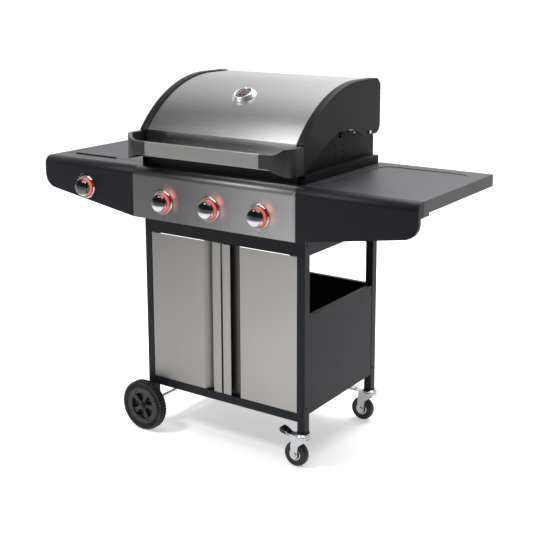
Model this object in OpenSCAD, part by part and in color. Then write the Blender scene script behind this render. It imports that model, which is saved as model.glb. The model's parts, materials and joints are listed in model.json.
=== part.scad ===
// Three-burner gas barbecue on a wheeled cabinet, with a side burner.
// Millimetres, +Z up, ground at Z = 0, front towards -Y, right-hand side towards +X.

/* [Cart frame] */
// Width of the cart over its legs
cart_w = 588; // [560:1:720]
// Depth of the cart over its legs
cart_d = 420; // [400:1:520]
// Height of the shelf tops above the ground
deck_z = 846; // [760:1:1020]
// Side of the square leg and rail tube
leg_t = 25; // [22:1:30]
// Wall of the square tube
tube_wall = 1.5; // [1:0.1:2.5]
// Height of the deep top rails
top_rail_h = 60; // [40:1:70]
// Underside of the lower rails above the ground
low_rail_z = 141.5; // [130:0.5:160]
// Thickness of the sheet parts
sheet = 1.2; // [1:0.1:2]
// Top of the cabinet side and back panels above the ground
panel_top_z = 459; // [380:1:520]
// Width of the folded lip on the cabinet panels
lip_w = 14; // [8:1:20]

/* [Doors] */
// Gap between the two doors
door_gap = 6.6; // [4:0.1:10]
// Width of the front strip of the folded door grip
grip_strip_w = 28.7; // [20:0.1:34]
// Width of the mouth of the folded door grip
grip_mouth_w = 35.5; // [30:0.5:45]
// Depth of the folded door grip
grip_depth = 22; // [18:1:28]
// Radius of the door hinge pins
hinge_pin_r = 2.5; // [2:0.1:2.8]

/* [Rolling gear] */
// Diameter of the two large wheels
wheel_d = 160; // [150:1:190]
// Width of the two large wheels
wheel_w = 28; // [24:1:40]
// Gap between the legs and the large wheels
wheel_gap = 24; // [6:1:30]
// Radius of the wheel axle
axle_r = 5; // [4:0.5:6]
// Height of the right-hand legs' lower ends, which is the castors' height
castor_h = 108; // [100:1:114]
// Diameter of the castor wheels
castor_d = 75; // [68:1:76]
// Width of the castor wheels
castor_w = 26; // [22:1:28]
// Distance that a castor wheel trails its swivel
castor_trail = 22; // [16:1:26]

/* [Firebox and lid] */
// Height of the lid's top above the shelf tops
lid_rise = 264; // [230:1:300]
// Radius of the lid's long curve
lid_curve_r = 400; // [380:5:480]
// Width of the dark band of the lid's end caps
cap_band_w = 25; // [18:1:32]
// How far the end caps stand proud of the lid's skin
cap_proud = 3; // [2:0.5:4]
// Distance of the rotisserie bracket's holes from each other along the firebox
bracket_hole_y = 40; // [30:1:50]
// Distance of the rotisserie bracket's holes from each other upwards
bracket_hole_z = 20; // [15:1:22]
// Radius of the rotisserie bracket's holes
bracket_hole_r = 2.25; // [2:0.05:3]
// Length of the handle's metal bar
handle_len = 406; // [340:1:440]
// Height of the handle's metal bar
handle_h = 40; // [30:1:44]
// Diameter of the thermometer at the lid's skin
thermo_d = 76; // [60:1:80]

/* [Controls] */
// Height of the control panel
panel_h = 154; // [140:1:170]
// Radius of the panel's rounded top edge
panel_round = 25; // [18:1:30]
// Depth of the knobs' centres below the shelf tops
knob_drop = 96; // [90:1:100]
// Distance of the side burner's knob from the middle of the cart
side_knob_x = 486; // [440:1:520]
// Diameter of the knobs
knob_d = 53; // [46:1:56]
// Outer diameter of the knobs' bezels
bezel_d = 76; // [72:1:84]
// How far a knob travels when it is pushed in
knob_travel = 4; // [3:0.5:4]

/* [Side shelves] */
// Width of each side shelf
shelf_w = 372; // [340:1:440]
// Height of the shelves' folded edges
skirt_h = 35; // [25:1:45]
// Angle at which the shelf fronts' lower edges rise outwards
front_rise = 9.15; // [5:0.05:10]
// Radius of the shelf fronts' lower outer corners
front_corner_r = 45; // [30:1:55]
// Width of the side burner's flush lid
side_lid_w = 300; // [280:1:304]

/* [Hidden] */
$fn = 64;

// Clearances: running fit of pins and shafts, and the gap that keeps plain pieces apart
run_fit = 0.05;
gap = 0.5;
// How far a cut runs past the face that it opens
over = 1;

// Cart frame
half_w = cart_w / 2;
half_d = cart_d / 2;
inner_x = half_w - leg_t;
inner_y = half_d - leg_t;
leg_x = half_w - leg_t / 2;
leg_y = half_d - leg_t / 2;
leg_top_z = deck_z - 4;
leg_plug_h = 45;
panel_bottom_z = deck_z - panel_h;
top_rail_z1 = panel_bottom_z + 6;
top_rail_z0 = top_rail_z1 - top_rail_h;
low_rail_z1 = low_rail_z + leg_t;
rear_rail_z0 = top_rail_z0 - 42;
panel_bottom_lip_z = low_rail_z + 20.5;
shelf_floor_z = low_rail_z1 + 1;
bottle_ring_r = 112;

// Rolling gear
wheel_r = wheel_d / 2;
left_leg_z = wheel_r - 20;
wheel_y0 = half_d + wheel_gap;
axle_cap_r = 9;
axle_cap_t = 5;
axle_reach = wheel_y0 + wheel_w + axle_cap_t;
castor_r = castor_d / 2;
stem_r = 5;
stem_h = 38;
race_r = 24;
race_h = 9.6;
cheek_t = 2.5;
cheek_y = castor_w / 2 + 1;
castor_bolt_r = 4;
pedal_pin_r = 2.5;
pedal_x = -castor_trail - 2;
pedal_z = castor_h - 22;
pedal_reach = 74;

// Reach of the handle in front of the cart's middle, and the shift that centres the whole
handle_reach = half_d + 97;
cart_y = (handle_reach - axle_reach) / 2;

// Doors
door_z0 = low_rail_z1 + 2;
door_z1 = top_rail_z0 - 2;
door_x1 = inner_x - 2;
hinge_x = inner_x - 6;
hinge_y = -half_d + 4;
tab_t = 2;

// Firebox
box_x = inner_x - gap;
box_wall = 1.5;
box_front = -half_d - 2;
box_rear = half_d + 12;
box_z0 = deck_z - 140;
box_front_z1 = deck_z + 39;
box_rear_z1 = deck_z + 84;
ledge_z1 = deck_z + 25;
grate_z = deck_z + 24;
grate_t = 10;
burner_margin = 15;
burner_pitch = (2 * box_x - burner_margin) / 3;
knob_z = deck_z - knob_drop;
side_knob_z = knob_z + 14;
knob_places = [[-burner_pitch, knob_z], [0, knob_z], [burner_pitch, knob_z], [-side_knob_x, side_knob_z]];
burner_r = 12.5;
tamer_z = knob_z + 48;
foot_y = inner_y - 35;
tray_x = 148;
tray_z0 = box_z0 - 54;
tray_z1 = box_z0 - 29;
tray_y0 = -half_d + 60;
tray_y1 = half_d + 2;

// Lid
lid_x = half_w + 1;
cap_t = 2.5;
lid_front = -half_d - 9;
lid_rear = half_d + 4;
lid_bottom_z = deck_z + 28;
lid_top_z = deck_z + lid_rise;
crown_y = lid_rear - 119;
lid_corner_r = 30;
lid_lobe_r = 28;
pivot_y = lid_rear - 66;
pivot_z = deck_z + 104;
pivot_r = 3;
skin_rear_z = pivot_z + 65;
cap_rear_z = pivot_z - 9;
arch_y = pivot_y - 143;
arch_z = pivot_z + 22;
arch_r = 208;
// Tangent from the cap's lower front corner to the arch
arch_dy = arch_y - lid_front;
arch_dz = arch_z - arch_r - lid_bottom_z;
arch_dist = sqrt(arch_dy * arch_dy + arch_dz * arch_dz);
cap_slope = atan2(arch_dz, arch_dy) + asin(arch_r / arch_dist);
cap_run = sqrt(arch_dist * arch_dist - arch_r * arch_r);
thermo_y = crown_y - 183;
thermo_tilt = asin((crown_y - thermo_y) / (lid_curve_r - cap_proud));

// Controls: every piece of a knob stands at a distance in front of the panel's face
panel_y = -half_d - 51.5;
panel_x = half_w;
bezel_h = 8.5;
bezel_floor = 5;
ring_front = 12.5;
knob_back = ring_front + knob_travel + gap;
knob_front = 34.5;
stem_hole_r = 12;
valve_stem_r = 4;
plug_r = 7;

// Handle
bar_t = 12;
bar_z0 = deck_z + 49.5;
bracket_t = 14;
bracket_turn_r = 50;
bracket_top = deck_z + 107;
bracket_z0 = lid_bottom_z;

// Side shelves
shelf_x0 = half_w;
shelf_x1 = shelf_x0 + shelf_w;
shelf_y0 = panel_y + panel_round + 5.5;
emboss = 1.5;
sink_r = 40;
side_lid_x0 = shelf_x0 + 42;
side_lid_x1 = side_lid_x0 + side_lid_w;
side_lid_y0 = -inner_y + 10;
side_lid_gap = 1.5;
side_lid_front_gap = 3;
side_hinge_y = pivot_y - 1;
side_hinge_z = deck_z - 4.5;
side_pin_r = 2;
bowl_z1 = deck_z - 17;
bowl_z0 = bowl_z1 - 38;
support_z1 = bowl_z1 + 6;
side_burner_y = (side_lid_y0 + side_hinge_y) / 2;
side_opening_rear = side_hinge_y + 5.5;

charcoal = [0.16, 0.16, 0.18];
steel = [0.70, 0.70, 0.69];
zinc = [0.78, 0.80, 0.82];

// Puts a piece that is drawn about the cart's middle into the part's frame
module on_cart() translate([0, cart_y, 0]) children();

// A box between two corners
module box(x0, x1, y0, y1, z0, z1) translate([x0, y0, z0]) cube([x1 - x0, y1 - y0, z1 - z0]);

// An outline in (Y, Z) carried along X, and one in (X, Z) carried along Y
module along_x(x0, x1) translate([x0, 0, 0]) rotate([90, 0, 90]) linear_extrude(x1 - x0) children();
module along_y(y0, y1) translate([0, y1, 0]) rotate([90, 0, 0]) linear_extrude(y1 - y0) children();

// Round rods along each axis
module rod_x(x0, x1, y, z, r) translate([x0, y, z]) rotate([0, 90, 0]) cylinder(h = x1 - x0, r = r);
module rod_y(y0, y1, x, z, r) translate([x, y0, z]) rotate([-90, 0, 0]) cylinder(h = y1 - y0, r = r);
module rod_z(z0, z1, x, y, r) translate([x, y, z0]) cylinder(h = z1 - z0, r = r);

// Turns a profile of (radius, distance in front of the panel) about a knob's axis
module on_panel(place) translate([place[0], panel_y, place[1]]) rotate([90, 0, 0]) children();

// Copies a piece to the other side of the cart
module both_sides() {
    children();
    mirror([1, 0, 0]) children();
}

// ---------- Cart frame ----------

// A square leg with a solid plug in its lower end
module leg_tube(sx, sy, z0) {
    difference() {
        box(sx * leg_x - leg_t / 2, sx * leg_x + leg_t / 2, sy * leg_y - leg_t / 2, sy * leg_y + leg_t / 2,
            z0, leg_top_z);
        box(sx * leg_x - leg_t / 2 + tube_wall, sx * leg_x + leg_t / 2 - tube_wall,
            sy * leg_y - leg_t / 2 + tube_wall, sy * leg_y + leg_t / 2 - tube_wall,
            z0 + leg_plug_h, leg_top_z + over);
    }
}

// A left leg is drilled for the wheel axle
module left_leg(sy) on_cart() color(charcoal) difference() {
    leg_tube(-1, sy, left_leg_z);
    rod_y(sy * leg_y - leg_t, sy * leg_y + leg_t, -leg_x, wheel_r, axle_r + run_fit);
}

// A right leg is bored from below for the castor's stem
module right_leg(sy) on_cart() color(charcoal) difference() {
    leg_tube(1, sy, castor_h);
    rod_z(castor_h - over, castor_h + stem_h + 3, leg_x, sy * leg_y, stem_r + run_fit);
}

module leg_front_left() left_leg(-1);
module leg_rear_left() left_leg(1);
module leg_front_right() right_leg(-1);
module leg_rear_right() right_leg(1);

// A hollow rail along X
module rail_x(y0, y1, z0, z1) difference() {
    box(-inner_x, inner_x, y0, y1, z0, z1);
    box(-inner_x - over, inner_x + over, y0 + tube_wall, y1 - tube_wall, z0 + tube_wall, z1 - tube_wall);
}

module front_rails() on_cart() color(charcoal) difference() {
    union() {
        rail_x(-half_d, -inner_y, top_rail_z0, top_rail_z1);
        rail_x(-half_d, -inner_y, low_rail_z, low_rail_z1);
    }
    both_sides() rod_z(low_rail_z1 - tube_wall - over, low_rail_z1 + over, hinge_x, hinge_y, hinge_pin_r + run_fit);
    both_sides() rod_z(top_rail_z0 - over, top_rail_z0 + tube_wall + over, hinge_x, hinge_y, hinge_pin_r + run_fit);
}

module rear_rails() on_cart() color(charcoal) {
    rail_x(inner_y, half_d, rear_rail_z0, rear_rail_z0 + leg_t);
    rail_x(inner_y, half_d, low_rail_z, low_rail_z1);
}

module side_rails() on_cart() color(charcoal) both_sides() difference() {
    box(inner_x, half_w, -inner_y, inner_y, top_rail_z0, top_rail_z1);
    box(inner_x + tube_wall, half_w - tube_wall, -inner_y - over, inner_y + over,
        top_rail_z0 + tube_wall, top_rail_z1 - tube_wall);
}

// Side panel with lips folded inwards along its top and bottom
module side_panel() {
    box(half_w - 1 - sheet, half_w - 1, -inner_y, inner_y, panel_bottom_lip_z, panel_top_z);
    box(half_w - 1 - lip_w, half_w - 1, -inner_y, inner_y, panel_top_z - sheet, panel_top_z);
    box(half_w - 1 - lip_w, half_w - 1, -inner_y, inner_y, panel_bottom_lip_z, panel_bottom_lip_z + sheet);
}

module side_panel_right() on_cart() color(charcoal) side_panel();
module side_panel_left() on_cart() color(charcoal) mirror([1, 0, 0]) side_panel();

module back_panel() on_cart() color(charcoal) {
    box(-inner_x, inner_x, half_d - 1 - sheet, half_d - 1, low_rail_z1, panel_top_z);
    box(-inner_x, inner_x, half_d - 1 - lip_w, half_d - 1, panel_top_z - sheet, panel_top_z);
}

// Cabinet floor, a pan with a raised ring that locates the gas bottle
module bottle_shelf() on_cart() color(charcoal) {
    difference() {
        box(-inner_x + gap, inner_x - gap, -inner_y, inner_y, shelf_floor_z - 18, shelf_floor_z);
        box(-inner_x + gap + sheet, inner_x - gap - sheet, -inner_y + sheet, inner_y - sheet,
            shelf_floor_z - 18 - over, shelf_floor_z - sheet);
    }
    difference() {
        rod_z(shelf_floor_z - sheet, shelf_floor_z + 5, 0, 0, bottle_ring_r);
        rod_z(shelf_floor_z - sheet - over, shelf_floor_z + 5 + over, 0, 0, bottle_ring_r - 3);
    }
}

// ---------- Rolling gear ----------

// Large wheel about the Z axis, its outer face at the top
module cart_wheel() {
    spokes = 5;
    hub_r = 17;
    rim_r = 45;
    web_t = 10;
    groove_w = 6;
    difference() {
        union() {
            rotate_extrude() polygon([
                [rim_r, 5], [wheel_r - 8, 0], [wheel_r - 2, 2], [wheel_r, 6],
                [wheel_r, (wheel_w - groove_w) / 2], [wheel_r - 4, (wheel_w - groove_w) / 2 + 1],
                [wheel_r - 4, (wheel_w + groove_w) / 2 - 1], [wheel_r, (wheel_w + groove_w) / 2],
                [wheel_r, wheel_w - 5], [wheel_r - 2, wheel_w - 1], [wheel_r - 6, wheel_w], [rim_r, wheel_w - 1]
            ]);
            cylinder(h = wheel_w - 2, r = hub_r);
            for (i = [0 : spokes - 1])
                rotate(i * 360 / spokes) translate([0, -8, wheel_w / 2 - web_t]) cube([rim_r + 1, 16, web_t * 2]);
        }
        translate([0, 0, -over]) cylinder(h = wheel_w + 2 * over, r = axle_r + run_fit);
    }
}

module cart_wheel_front() on_cart() color(charcoal)
    translate([-leg_x, -wheel_y0, wheel_r]) rotate([90, 0, 0]) cart_wheel();
module cart_wheel_rear() on_cart() color(charcoal)
    translate([-leg_x, wheel_y0, wheel_r]) rotate([-90, 0, 0]) cart_wheel();

module wheel_axle() on_cart() color(zinc) {
    rod_y(-axle_reach, axle_reach, -leg_x, wheel_r, axle_r);
    for (s = [-1, 1])
        rod_y(s * (half_d + wheel_gap / 2) - wheel_gap / 2 + 0.3, s * (half_d + wheel_gap / 2) + wheel_gap / 2 - 0.3,
            -leg_x, wheel_r, 9);
    rod_y(-axle_reach, -axle_reach + axle_cap_t - gap, -leg_x, wheel_r, axle_cap_r);
    rod_y(axle_reach - axle_cap_t + gap, axle_reach, -leg_x, wheel_r, axle_cap_r);
}

// Castor fork with its stem, raceway, cheeks, wheel bolt and pedal pin; the swivel is the Z axis
module castor_fork() {
    race_z0 = castor_h - 0.4 - race_h;
    rod_z(race_z0 + race_h - over, castor_h + stem_h, 0, 0, stem_r);
    translate([0, 0, race_z0]) rotate_extrude() polygon([
        [0, 0], [race_r - 3, 0], [race_r, 3], [race_r, 6.5], [race_r - 4, race_h], [0, race_h]
    ]);
    for (s = [-1, 1])
        along_y(s * (cheek_y + cheek_t / 2) - cheek_t / 2, s * (cheek_y + cheek_t / 2) + cheek_t / 2) union() {
            polygon([
                [20, race_z0 + 1], [-castor_trail - 9, race_z0 + 1], [-castor_trail - 12, castor_r + 22],
                [-castor_trail - 11, castor_r + 2], [-castor_trail + 10, castor_r], [-castor_trail + 14, race_z0 - 32],
                [8, race_z0 - 18], [20, race_z0 - 12]
            ]);
            translate([-castor_trail, castor_r]) circle(r = 12);
        }
    box(-13, 17, -cheek_y - cheek_t / 2, cheek_y + cheek_t / 2, race_z0 - 2, race_z0 + 1);
    rod_y(-cheek_y - cheek_t - 3, cheek_y + cheek_t + 3, -castor_trail, castor_r, castor_bolt_r);
    for (s = [-1, 1])
        rod_y(s * (cheek_y + cheek_t + 1.5) - 1.5, s * (cheek_y + cheek_t + 1.5) + 1.5, -castor_trail, castor_r, 7.5);
    rod_y(-cheek_y - cheek_t / 2, cheek_y + cheek_t / 2, pedal_x, pedal_z, pedal_pin_r);
}

// Castor wheel about the Y axis
module castor_wheel() translate([-castor_trail, 0, castor_r]) rotate([90, 0, 0])
    rotate_extrude() polygon([
        [castor_bolt_r + run_fit, -castor_w / 2], [14, -castor_w / 2], [16, -castor_w / 2 + 3],
        [castor_r - 5, -castor_w / 2 + 1], [castor_r - 1.5, -castor_w / 2 + 4], [castor_r, -castor_w / 2 + 8],
        [castor_r, castor_w / 2 - 8], [castor_r - 1.5, castor_w / 2 - 4], [castor_r - 5, castor_w / 2 - 1],
        [16, castor_w / 2 - 3], [14, castor_w / 2], [castor_bolt_r + run_fit, castor_w / 2]
    ]);

// Brake pedal that turns on the fork's pin
module brake_pedal() difference() {
    pedal_w = castor_w - 2;
    plate_z = castor_h - 14;
    union() {
        rod_y(-pedal_w / 2, pedal_w / 2, pedal_x, pedal_z, 5.5);
        box(pedal_x - 8, pedal_x - 2, -pedal_w / 2, pedal_w / 2, pedal_z - 2, plate_z + 3);
        box(-pedal_reach, pedal_x - 2, -pedal_w / 2, pedal_w / 2, plate_z, plate_z + 3);
        along_y(-pedal_w / 2, pedal_w / 2) polygon([
            [-pedal_reach, plate_z], [-pedal_reach + 24, plate_z],
            [-pedal_reach + 24, plate_z + 6], [-pedal_reach + 3, plate_z + 9], [-pedal_reach, plate_z + 8]
        ]);
    }
    rod_y(-pedal_w, pedal_w, pedal_x, pedal_z, pedal_pin_r + run_fit);
}

module at_castor(sy) on_cart() translate([leg_x, sy * leg_y, 0]) children();
module castor_fork_front() at_castor(-1) color(zinc) castor_fork();
module castor_fork_rear() at_castor(1) color(zinc) castor_fork();
module castor_wheel_front() at_castor(-1) color([0.25, 0.25, 0.25]) castor_wheel();
module castor_wheel_rear() at_castor(1) color([0.25, 0.25, 0.25]) castor_wheel();
module brake_pedal_front() at_castor(-1) color(zinc) brake_pedal();
module brake_pedal_rear() at_castor(1) color(zinc) brake_pedal();

// ---------- Doors ----------

// Left door: one folded sheet whose grip is a J-shaped pocket near the middle of the cabinet
module door_leaf() difference() {
    edge_x = -door_gap / 2;
    strip_x = edge_x - grip_strip_w;
    mouth_x = strip_x - grip_mouth_w;
    bend_x = mouth_x + 17.5;
    front = -half_d;
    back = -half_d + grip_depth;
    tab_x = -door_x1 + 27;
    union() {
        translate([0, 0, door_z0]) linear_extrude(door_z1 - door_z0) polygon([
            [-door_x1, front], [mouth_x, front], [bend_x, back - sheet], [edge_x - sheet, back - sheet],
            [edge_x - sheet, front + sheet], [strip_x, front + sheet], [strip_x, front], [edge_x, front],
            [edge_x, back], [bend_x - 0.6, back], [mouth_x - 0.6, front + sheet],
            [-door_x1 + sheet, front + sheet], [-door_x1 + sheet, front + 14], [-door_x1, front + 14]
        ]);
        box(-door_x1 + sheet / 2, tab_x, front + sheet / 2, front + 14, door_z0, door_z0 + tab_t);
        box(-door_x1 + sheet / 2, tab_x, front + sheet / 2, front + 14, door_z1 - tab_t, door_z1);
    }
    rod_z(door_z0 - over, door_z0 + tab_t + over, -hinge_x, hinge_y, hinge_pin_r + run_fit);
    rod_z(door_z1 - tab_t - over, door_z1 + over, -hinge_x, hinge_y, hinge_pin_r + run_fit);
}

module door_left() on_cart() color(steel) door_leaf();
module door_right() on_cart() color(steel) mirror([1, 0, 0]) door_leaf();

// Four pins that stand in the rails
module door_hinge_pins() on_cart() color(zinc) both_sides() {
    rod_z(low_rail_z1 - 10, door_z0 + tab_t + 4, hinge_x, hinge_y, hinge_pin_r);
    rod_z(door_z1 - tab_t - 4, top_rail_z0 + 10, hinge_x, hinge_y, hinge_pin_r);
}

// Magnetic catches behind the top rail
module door_catches() on_cart() color([0.9, 0.9, 0.88]) both_sides() {
    box(10, 32, -inner_y, -inner_y + 14, top_rail_z0 - 20, top_rail_z0 + 16);
    box(10, 32, -half_d + grip_depth + gap, -inner_y + 1, top_rail_z0 - 20, top_rail_z0 - gap);
}

// ---------- Firebox and what it holds ----------

// Outline of a firebox side in (Y, Z)
module firebox_side_outline() difference() {
    slot_y = arch_y + 13;
    slot_z = pivot_z + 13;
    polygon([
        [box_front, box_z0], [box_rear, box_z0], [box_rear, box_rear_z1], [pivot_y + 22, pivot_z + 10],
        [pivot_y - 12, pivot_z + 10], [pivot_y - 42, pivot_z - 5], [pivot_y - 88, slot_z],
        [arch_y - 95, slot_z], [box_front, box_front_z1]
    ]);
    polygon([
        [slot_y - 12, slot_z + over], [slot_y - 6, slot_z - 19], [slot_y + 6, slot_z - 19], [slot_y + 12, slot_z + over]
    ]);
    for (row = [-1 : 1], column = [-1, 1])
        translate([arch_y + 9 + column * bracket_hole_y / 2, pivot_z - 45.5 + row * bracket_hole_z])
            circle(r = bracket_hole_r);
    translate([pivot_y, pivot_z]) circle(r = pivot_r + run_fit);
}

module firebox() on_cart() color(charcoal) {
    both_sides() along_x(box_x - box_wall, box_x) firebox_side_outline();
    both_sides() box(box_x - box_wall, lid_x, box_front, lid_rear - 6, ledge_z1 - box_wall, ledge_z1);
    both_sides() box(lid_x - box_wall, lid_x, box_front, lid_rear - 6, deck_z + 0.2, ledge_z1);
    difference() {
        box(-box_x, box_x, box_front, box_front + box_wall, box_z0, box_front_z1);
        for (i = [0 : 2])
            rod_y(box_front - over, box_front + box_wall + over, knob_places[i][0], knob_z, burner_r + run_fit);
    }
    box(-box_x, box_x, box_rear - box_wall, box_rear, box_z0, box_rear_z1);
    box(-box_x, box_x, box_front, box_front + 14, grate_z - box_wall, grate_z);
    box(-box_x, box_x, box_rear - 16, box_rear, grate_z - box_wall, grate_z);
    box(-box_x, box_x, box_front, box_front + 18, tamer_z - box_wall, tamer_z);
    box(-box_x, box_x, box_rear - 20, box_rear, tamer_z - box_wall, tamer_z);
    both_sides() box(box_x - box_wall, box_x, -foot_y, foot_y, top_rail_z1, box_z0 + over);
    both_sides() box(box_x - box_wall, half_w - 4, -foot_y, foot_y, top_rail_z1, top_rail_z1 + box_wall);
}

// Sloping floor with a middle slot, and the runners that carry the drip tray
module grease_funnel() on_cart() color([0.3, 0.3, 0.3]) {
    slot_half = 40;
    rim_z = box_z0 + 28;
    low_z = box_z0 + 4;
    runner_x = tray_x + 13;
    floor_x = box_x - box_wall;
    runner_z0 = tray_z1 - sheet - 0.3 - box_wall;
    runner_z1 = low_z + (rim_z - low_z) * (runner_x - slot_half) / (floor_x - slot_half) + box_wall / 2;
    along_y(box_front + box_wall, box_rear - box_wall) {
        polygon([[slot_half, low_z], [floor_x, rim_z], [floor_x, rim_z + box_wall], [slot_half, low_z + box_wall]]);
        polygon([[-slot_half, low_z], [-slot_half, low_z + box_wall], [-floor_x, rim_z + box_wall], [-floor_x, rim_z]]);
    }
    both_sides() box(runner_x - box_wall, runner_x, -inner_y, inner_y, runner_z0, runner_z1);
    both_sides() box(tray_x + 2, runner_x, -inner_y, inner_y, runner_z0, runner_z0 + box_wall);
}

// Drip tray with a grease cup below its middle
module drip_tray() on_cart() color([0.55, 0.55, 0.55]) {
    cup_r = 38;
    cup_h = 20;
    cup_y = 20;
    difference() {
        union() {
            box(-tray_x, tray_x, tray_y0, tray_y1, tray_z0, tray_z1);
            rod_z(tray_z0 - cup_h, tray_z0 + sheet, 0, cup_y, cup_r);
        }
        box(-tray_x + sheet, tray_x - sheet, tray_y0 + sheet, tray_y1 - sheet, tray_z0 + sheet, tray_z1 + over);
        rod_z(tray_z0 - cup_h + sheet, tray_z0 + sheet + over, 0, cup_y, cup_r - sheet);
    }
    both_sides() box(tray_x - sheet, tray_x + 10, tray_y0, tray_y1, tray_z1 - sheet, tray_z1);
    box(-60, 60, tray_y1 - sheet, tray_y1 + 14, tray_z1 - sheet, tray_z1);
}

// Three tube burners, open to the valves at the front and held by a tab at the back
module burners() on_cart() color(steel) for (i = [0 : 2]) difference() {
    burner_x = knob_places[i][0];
    rear = box_rear - 25;
    union() {
        rod_y(box_front, rear, burner_x, knob_z, burner_r);
        box(burner_x - 10, burner_x + 10, rear - 2, box_rear - box_wall, knob_z - 1.5, knob_z + 1.5);
    }
    rod_y(box_front - over, rear - 2, burner_x, knob_z, burner_r - 1);
    for (y = [box_front + 40 : 24 : rear - 20])
        rod_z(knob_z, knob_z + burner_r + over, burner_x, y, 1.5);
}

// Peaked shields over the burners
module flame_tamers() on_cart() color([0.5, 0.5, 0.5]) for (i = [0 : 2])
    translate([knob_places[i][0], 0, 0]) along_y(box_front + 12, box_rear - 14) {
        tamer_half = 62;
        polygon([
            [-tamer_half, tamer_z], [0, tamer_z + 34], [tamer_half, tamer_z],
            [tamer_half, tamer_z + 1.6], [0, tamer_z + 35.6], [-tamer_half, tamer_z + 1.6]
        ]);
    }

// Half of the cooking grate, between two distances from the middle
module grate(x0, x1) {
    bars = 14;
    bar_w = 6;
    y0 = box_front + 6;
    y1 = box_rear - 6;
    pitch = (x1 - x0 - bar_w) / (bars - 1);
    for (i = [0 : bars - 1])
        box(x0 + i * pitch, x0 + i * pitch + bar_w, y0, y1, grate_z, grate_z + grate_t);
    for (y = [y0, (y0 + y1) / 2 - 4, y1 - 8])
        box(x0, x1, y, y + 8, grate_z, grate_z + grate_t - 3);
}

module grate_left() on_cart() color([0.2, 0.2, 0.2]) grate(-box_x + 4, -1);
module grate_right() on_cart() color([0.2, 0.2, 0.2]) grate(1, box_x - 4);

// Wire rack on four feet that stand on the grates
module warming_rack() on_cart() color([0.2, 0.2, 0.2]) {
    rack_x = box_x - 7;
    rack_y0 = pivot_y - 170;
    rack_y1 = pivot_y - 22;
    rack_z = pivot_z + 1;
    rod_x(-rack_x, rack_x, rack_y0, rack_z, 3);
    rod_x(-rack_x, rack_x, rack_y1, rack_z, 3);
    for (i = [0 : 16])
        rod_y(rack_y0, rack_y1, -rack_x + i * rack_x / 8, rack_z, 2);
    for (x = [-rack_x, rack_x], y = [rack_y0, rack_y1])
        rod_z(grate_z + grate_t, rack_z, x, y, 3);
}

// Gas pipe with four valve bodies and the hose tail at its right-hand end
module gas_manifold() on_cart() color([0.72, 0.58, 0.30]) difference() {
    pipe_y = box_front - 14;
    pipe_z = knob_z - 20;
    pipe_x1 = burner_pitch + 68;
    tail_len = 25;
    body_half = 14;
    body_y0 = panel_y + 24;
    union() {
        rod_x(-side_knob_x - 14, pipe_x1, pipe_y, pipe_z, 8);
        for (place = knob_places) {
            box(place[0] - body_half, place[0] + body_half, body_y0, box_front,
                place[1] - body_half, place[1] + body_half);
            box(place[0] - 7, place[0] + 7, pipe_y - 6, pipe_y + 6, pipe_z, place[1]);
            rod_y(box_front - 4, box_front + 8, place[0], place[1], 5);
        }
        rod_x(pipe_x1 - over, pipe_x1 + tail_len, pipe_y, pipe_z, 5);
    }
    for (place = knob_places)
        rod_y(body_y0 - over, box_front - 8, place[0], place[1], plug_r + run_fit);
    rod_x(pipe_x1 - tail_len, pipe_x1 + tail_len + over, pipe_y, pipe_z, 3);
}

// ---------- Controls ----------

// Valve plug and stem: turns in the valve body and carries its knob
module valve_plug(place) on_cart() color(zinc) {
    plug_front = panel_y + 15;
    rod_y(plug_front, box_front - 9, place[0], place[1], plug_r);
    rod_y(panel_y - knob_front + 8, plug_front + over, place[0], place[1], valve_stem_r);
}
module valve_plug_1() valve_plug(knob_places[0]);
module valve_plug_2() valve_plug(knob_places[1]);
module valve_plug_3() valve_plug(knob_places[2]);
module valve_plug_4() valve_plug(knob_places[3]);

// Knob that slides on its stem
module knob(place) on_cart() color(zinc) on_panel(place) difference() {
    knob_r = knob_d / 2;
    bore_r = valve_stem_r + run_fit;
    bore_end = knob_front - 8 + knob_travel + gap;
    rotate_extrude() polygon([
        [0, 8], [10, 8], [10, knob_back], [knob_r - 1, knob_back], [knob_r, knob_back + 1],
        [knob_r, knob_front - 2], [knob_r - 2, knob_front], [0, knob_front]
    ]);
    cylinder(h = bore_end, r = bore_r);
}
module knob_1() knob(knob_places[0]);
module knob_2() knob(knob_places[1]);
module knob_3() knob(knob_places[2]);
module knob_4() knob(knob_places[3]);

module knob_bezels() on_cart() color(zinc) for (place = knob_places) on_panel(place) {
    bezel_r = bezel_d / 2;
    rotate_extrude() polygon([
        [stem_hole_r + 2, 0], [bezel_r, 0], [bezel_r, 2], [bezel_r - 3, bezel_h], [bezel_r - 7, bezel_h],
        [bezel_r - 7, bezel_floor], [stem_hole_r + 2, bezel_floor]
    ]);
}

module glow_rings() on_cart() color([0.95, 0.32, 0.2]) for (place = knob_places) on_panel(place) {
    ring_r = bezel_d / 2 - 9;
    ring_w = 6;
    rotate_extrude() polygon([
        [ring_r - ring_w, bezel_floor], [ring_r, bezel_floor], [ring_r, ring_front - 1],
        [ring_r - 1, ring_front], [ring_r - ring_w, ring_front]
    ]);
}

// Cross-section in (Y, Z) of the panel and the shelf fronts, shrunk by a wall
module panel_section(shrink) union() {
    centre_y = panel_y + panel_round;
    centre_z = deck_z - panel_round;
    translate([centre_y, centre_z]) circle(r = panel_round - shrink);
    translate([panel_y + shrink, panel_bottom_z - 2 * shrink])
        square([shelf_y0 - panel_y - shrink, centre_z - panel_bottom_z + 2 * shrink]);
    translate([centre_y, panel_bottom_z])
        square([shelf_y0 - centre_y, deck_z - shrink - panel_bottom_z]);
}

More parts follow.
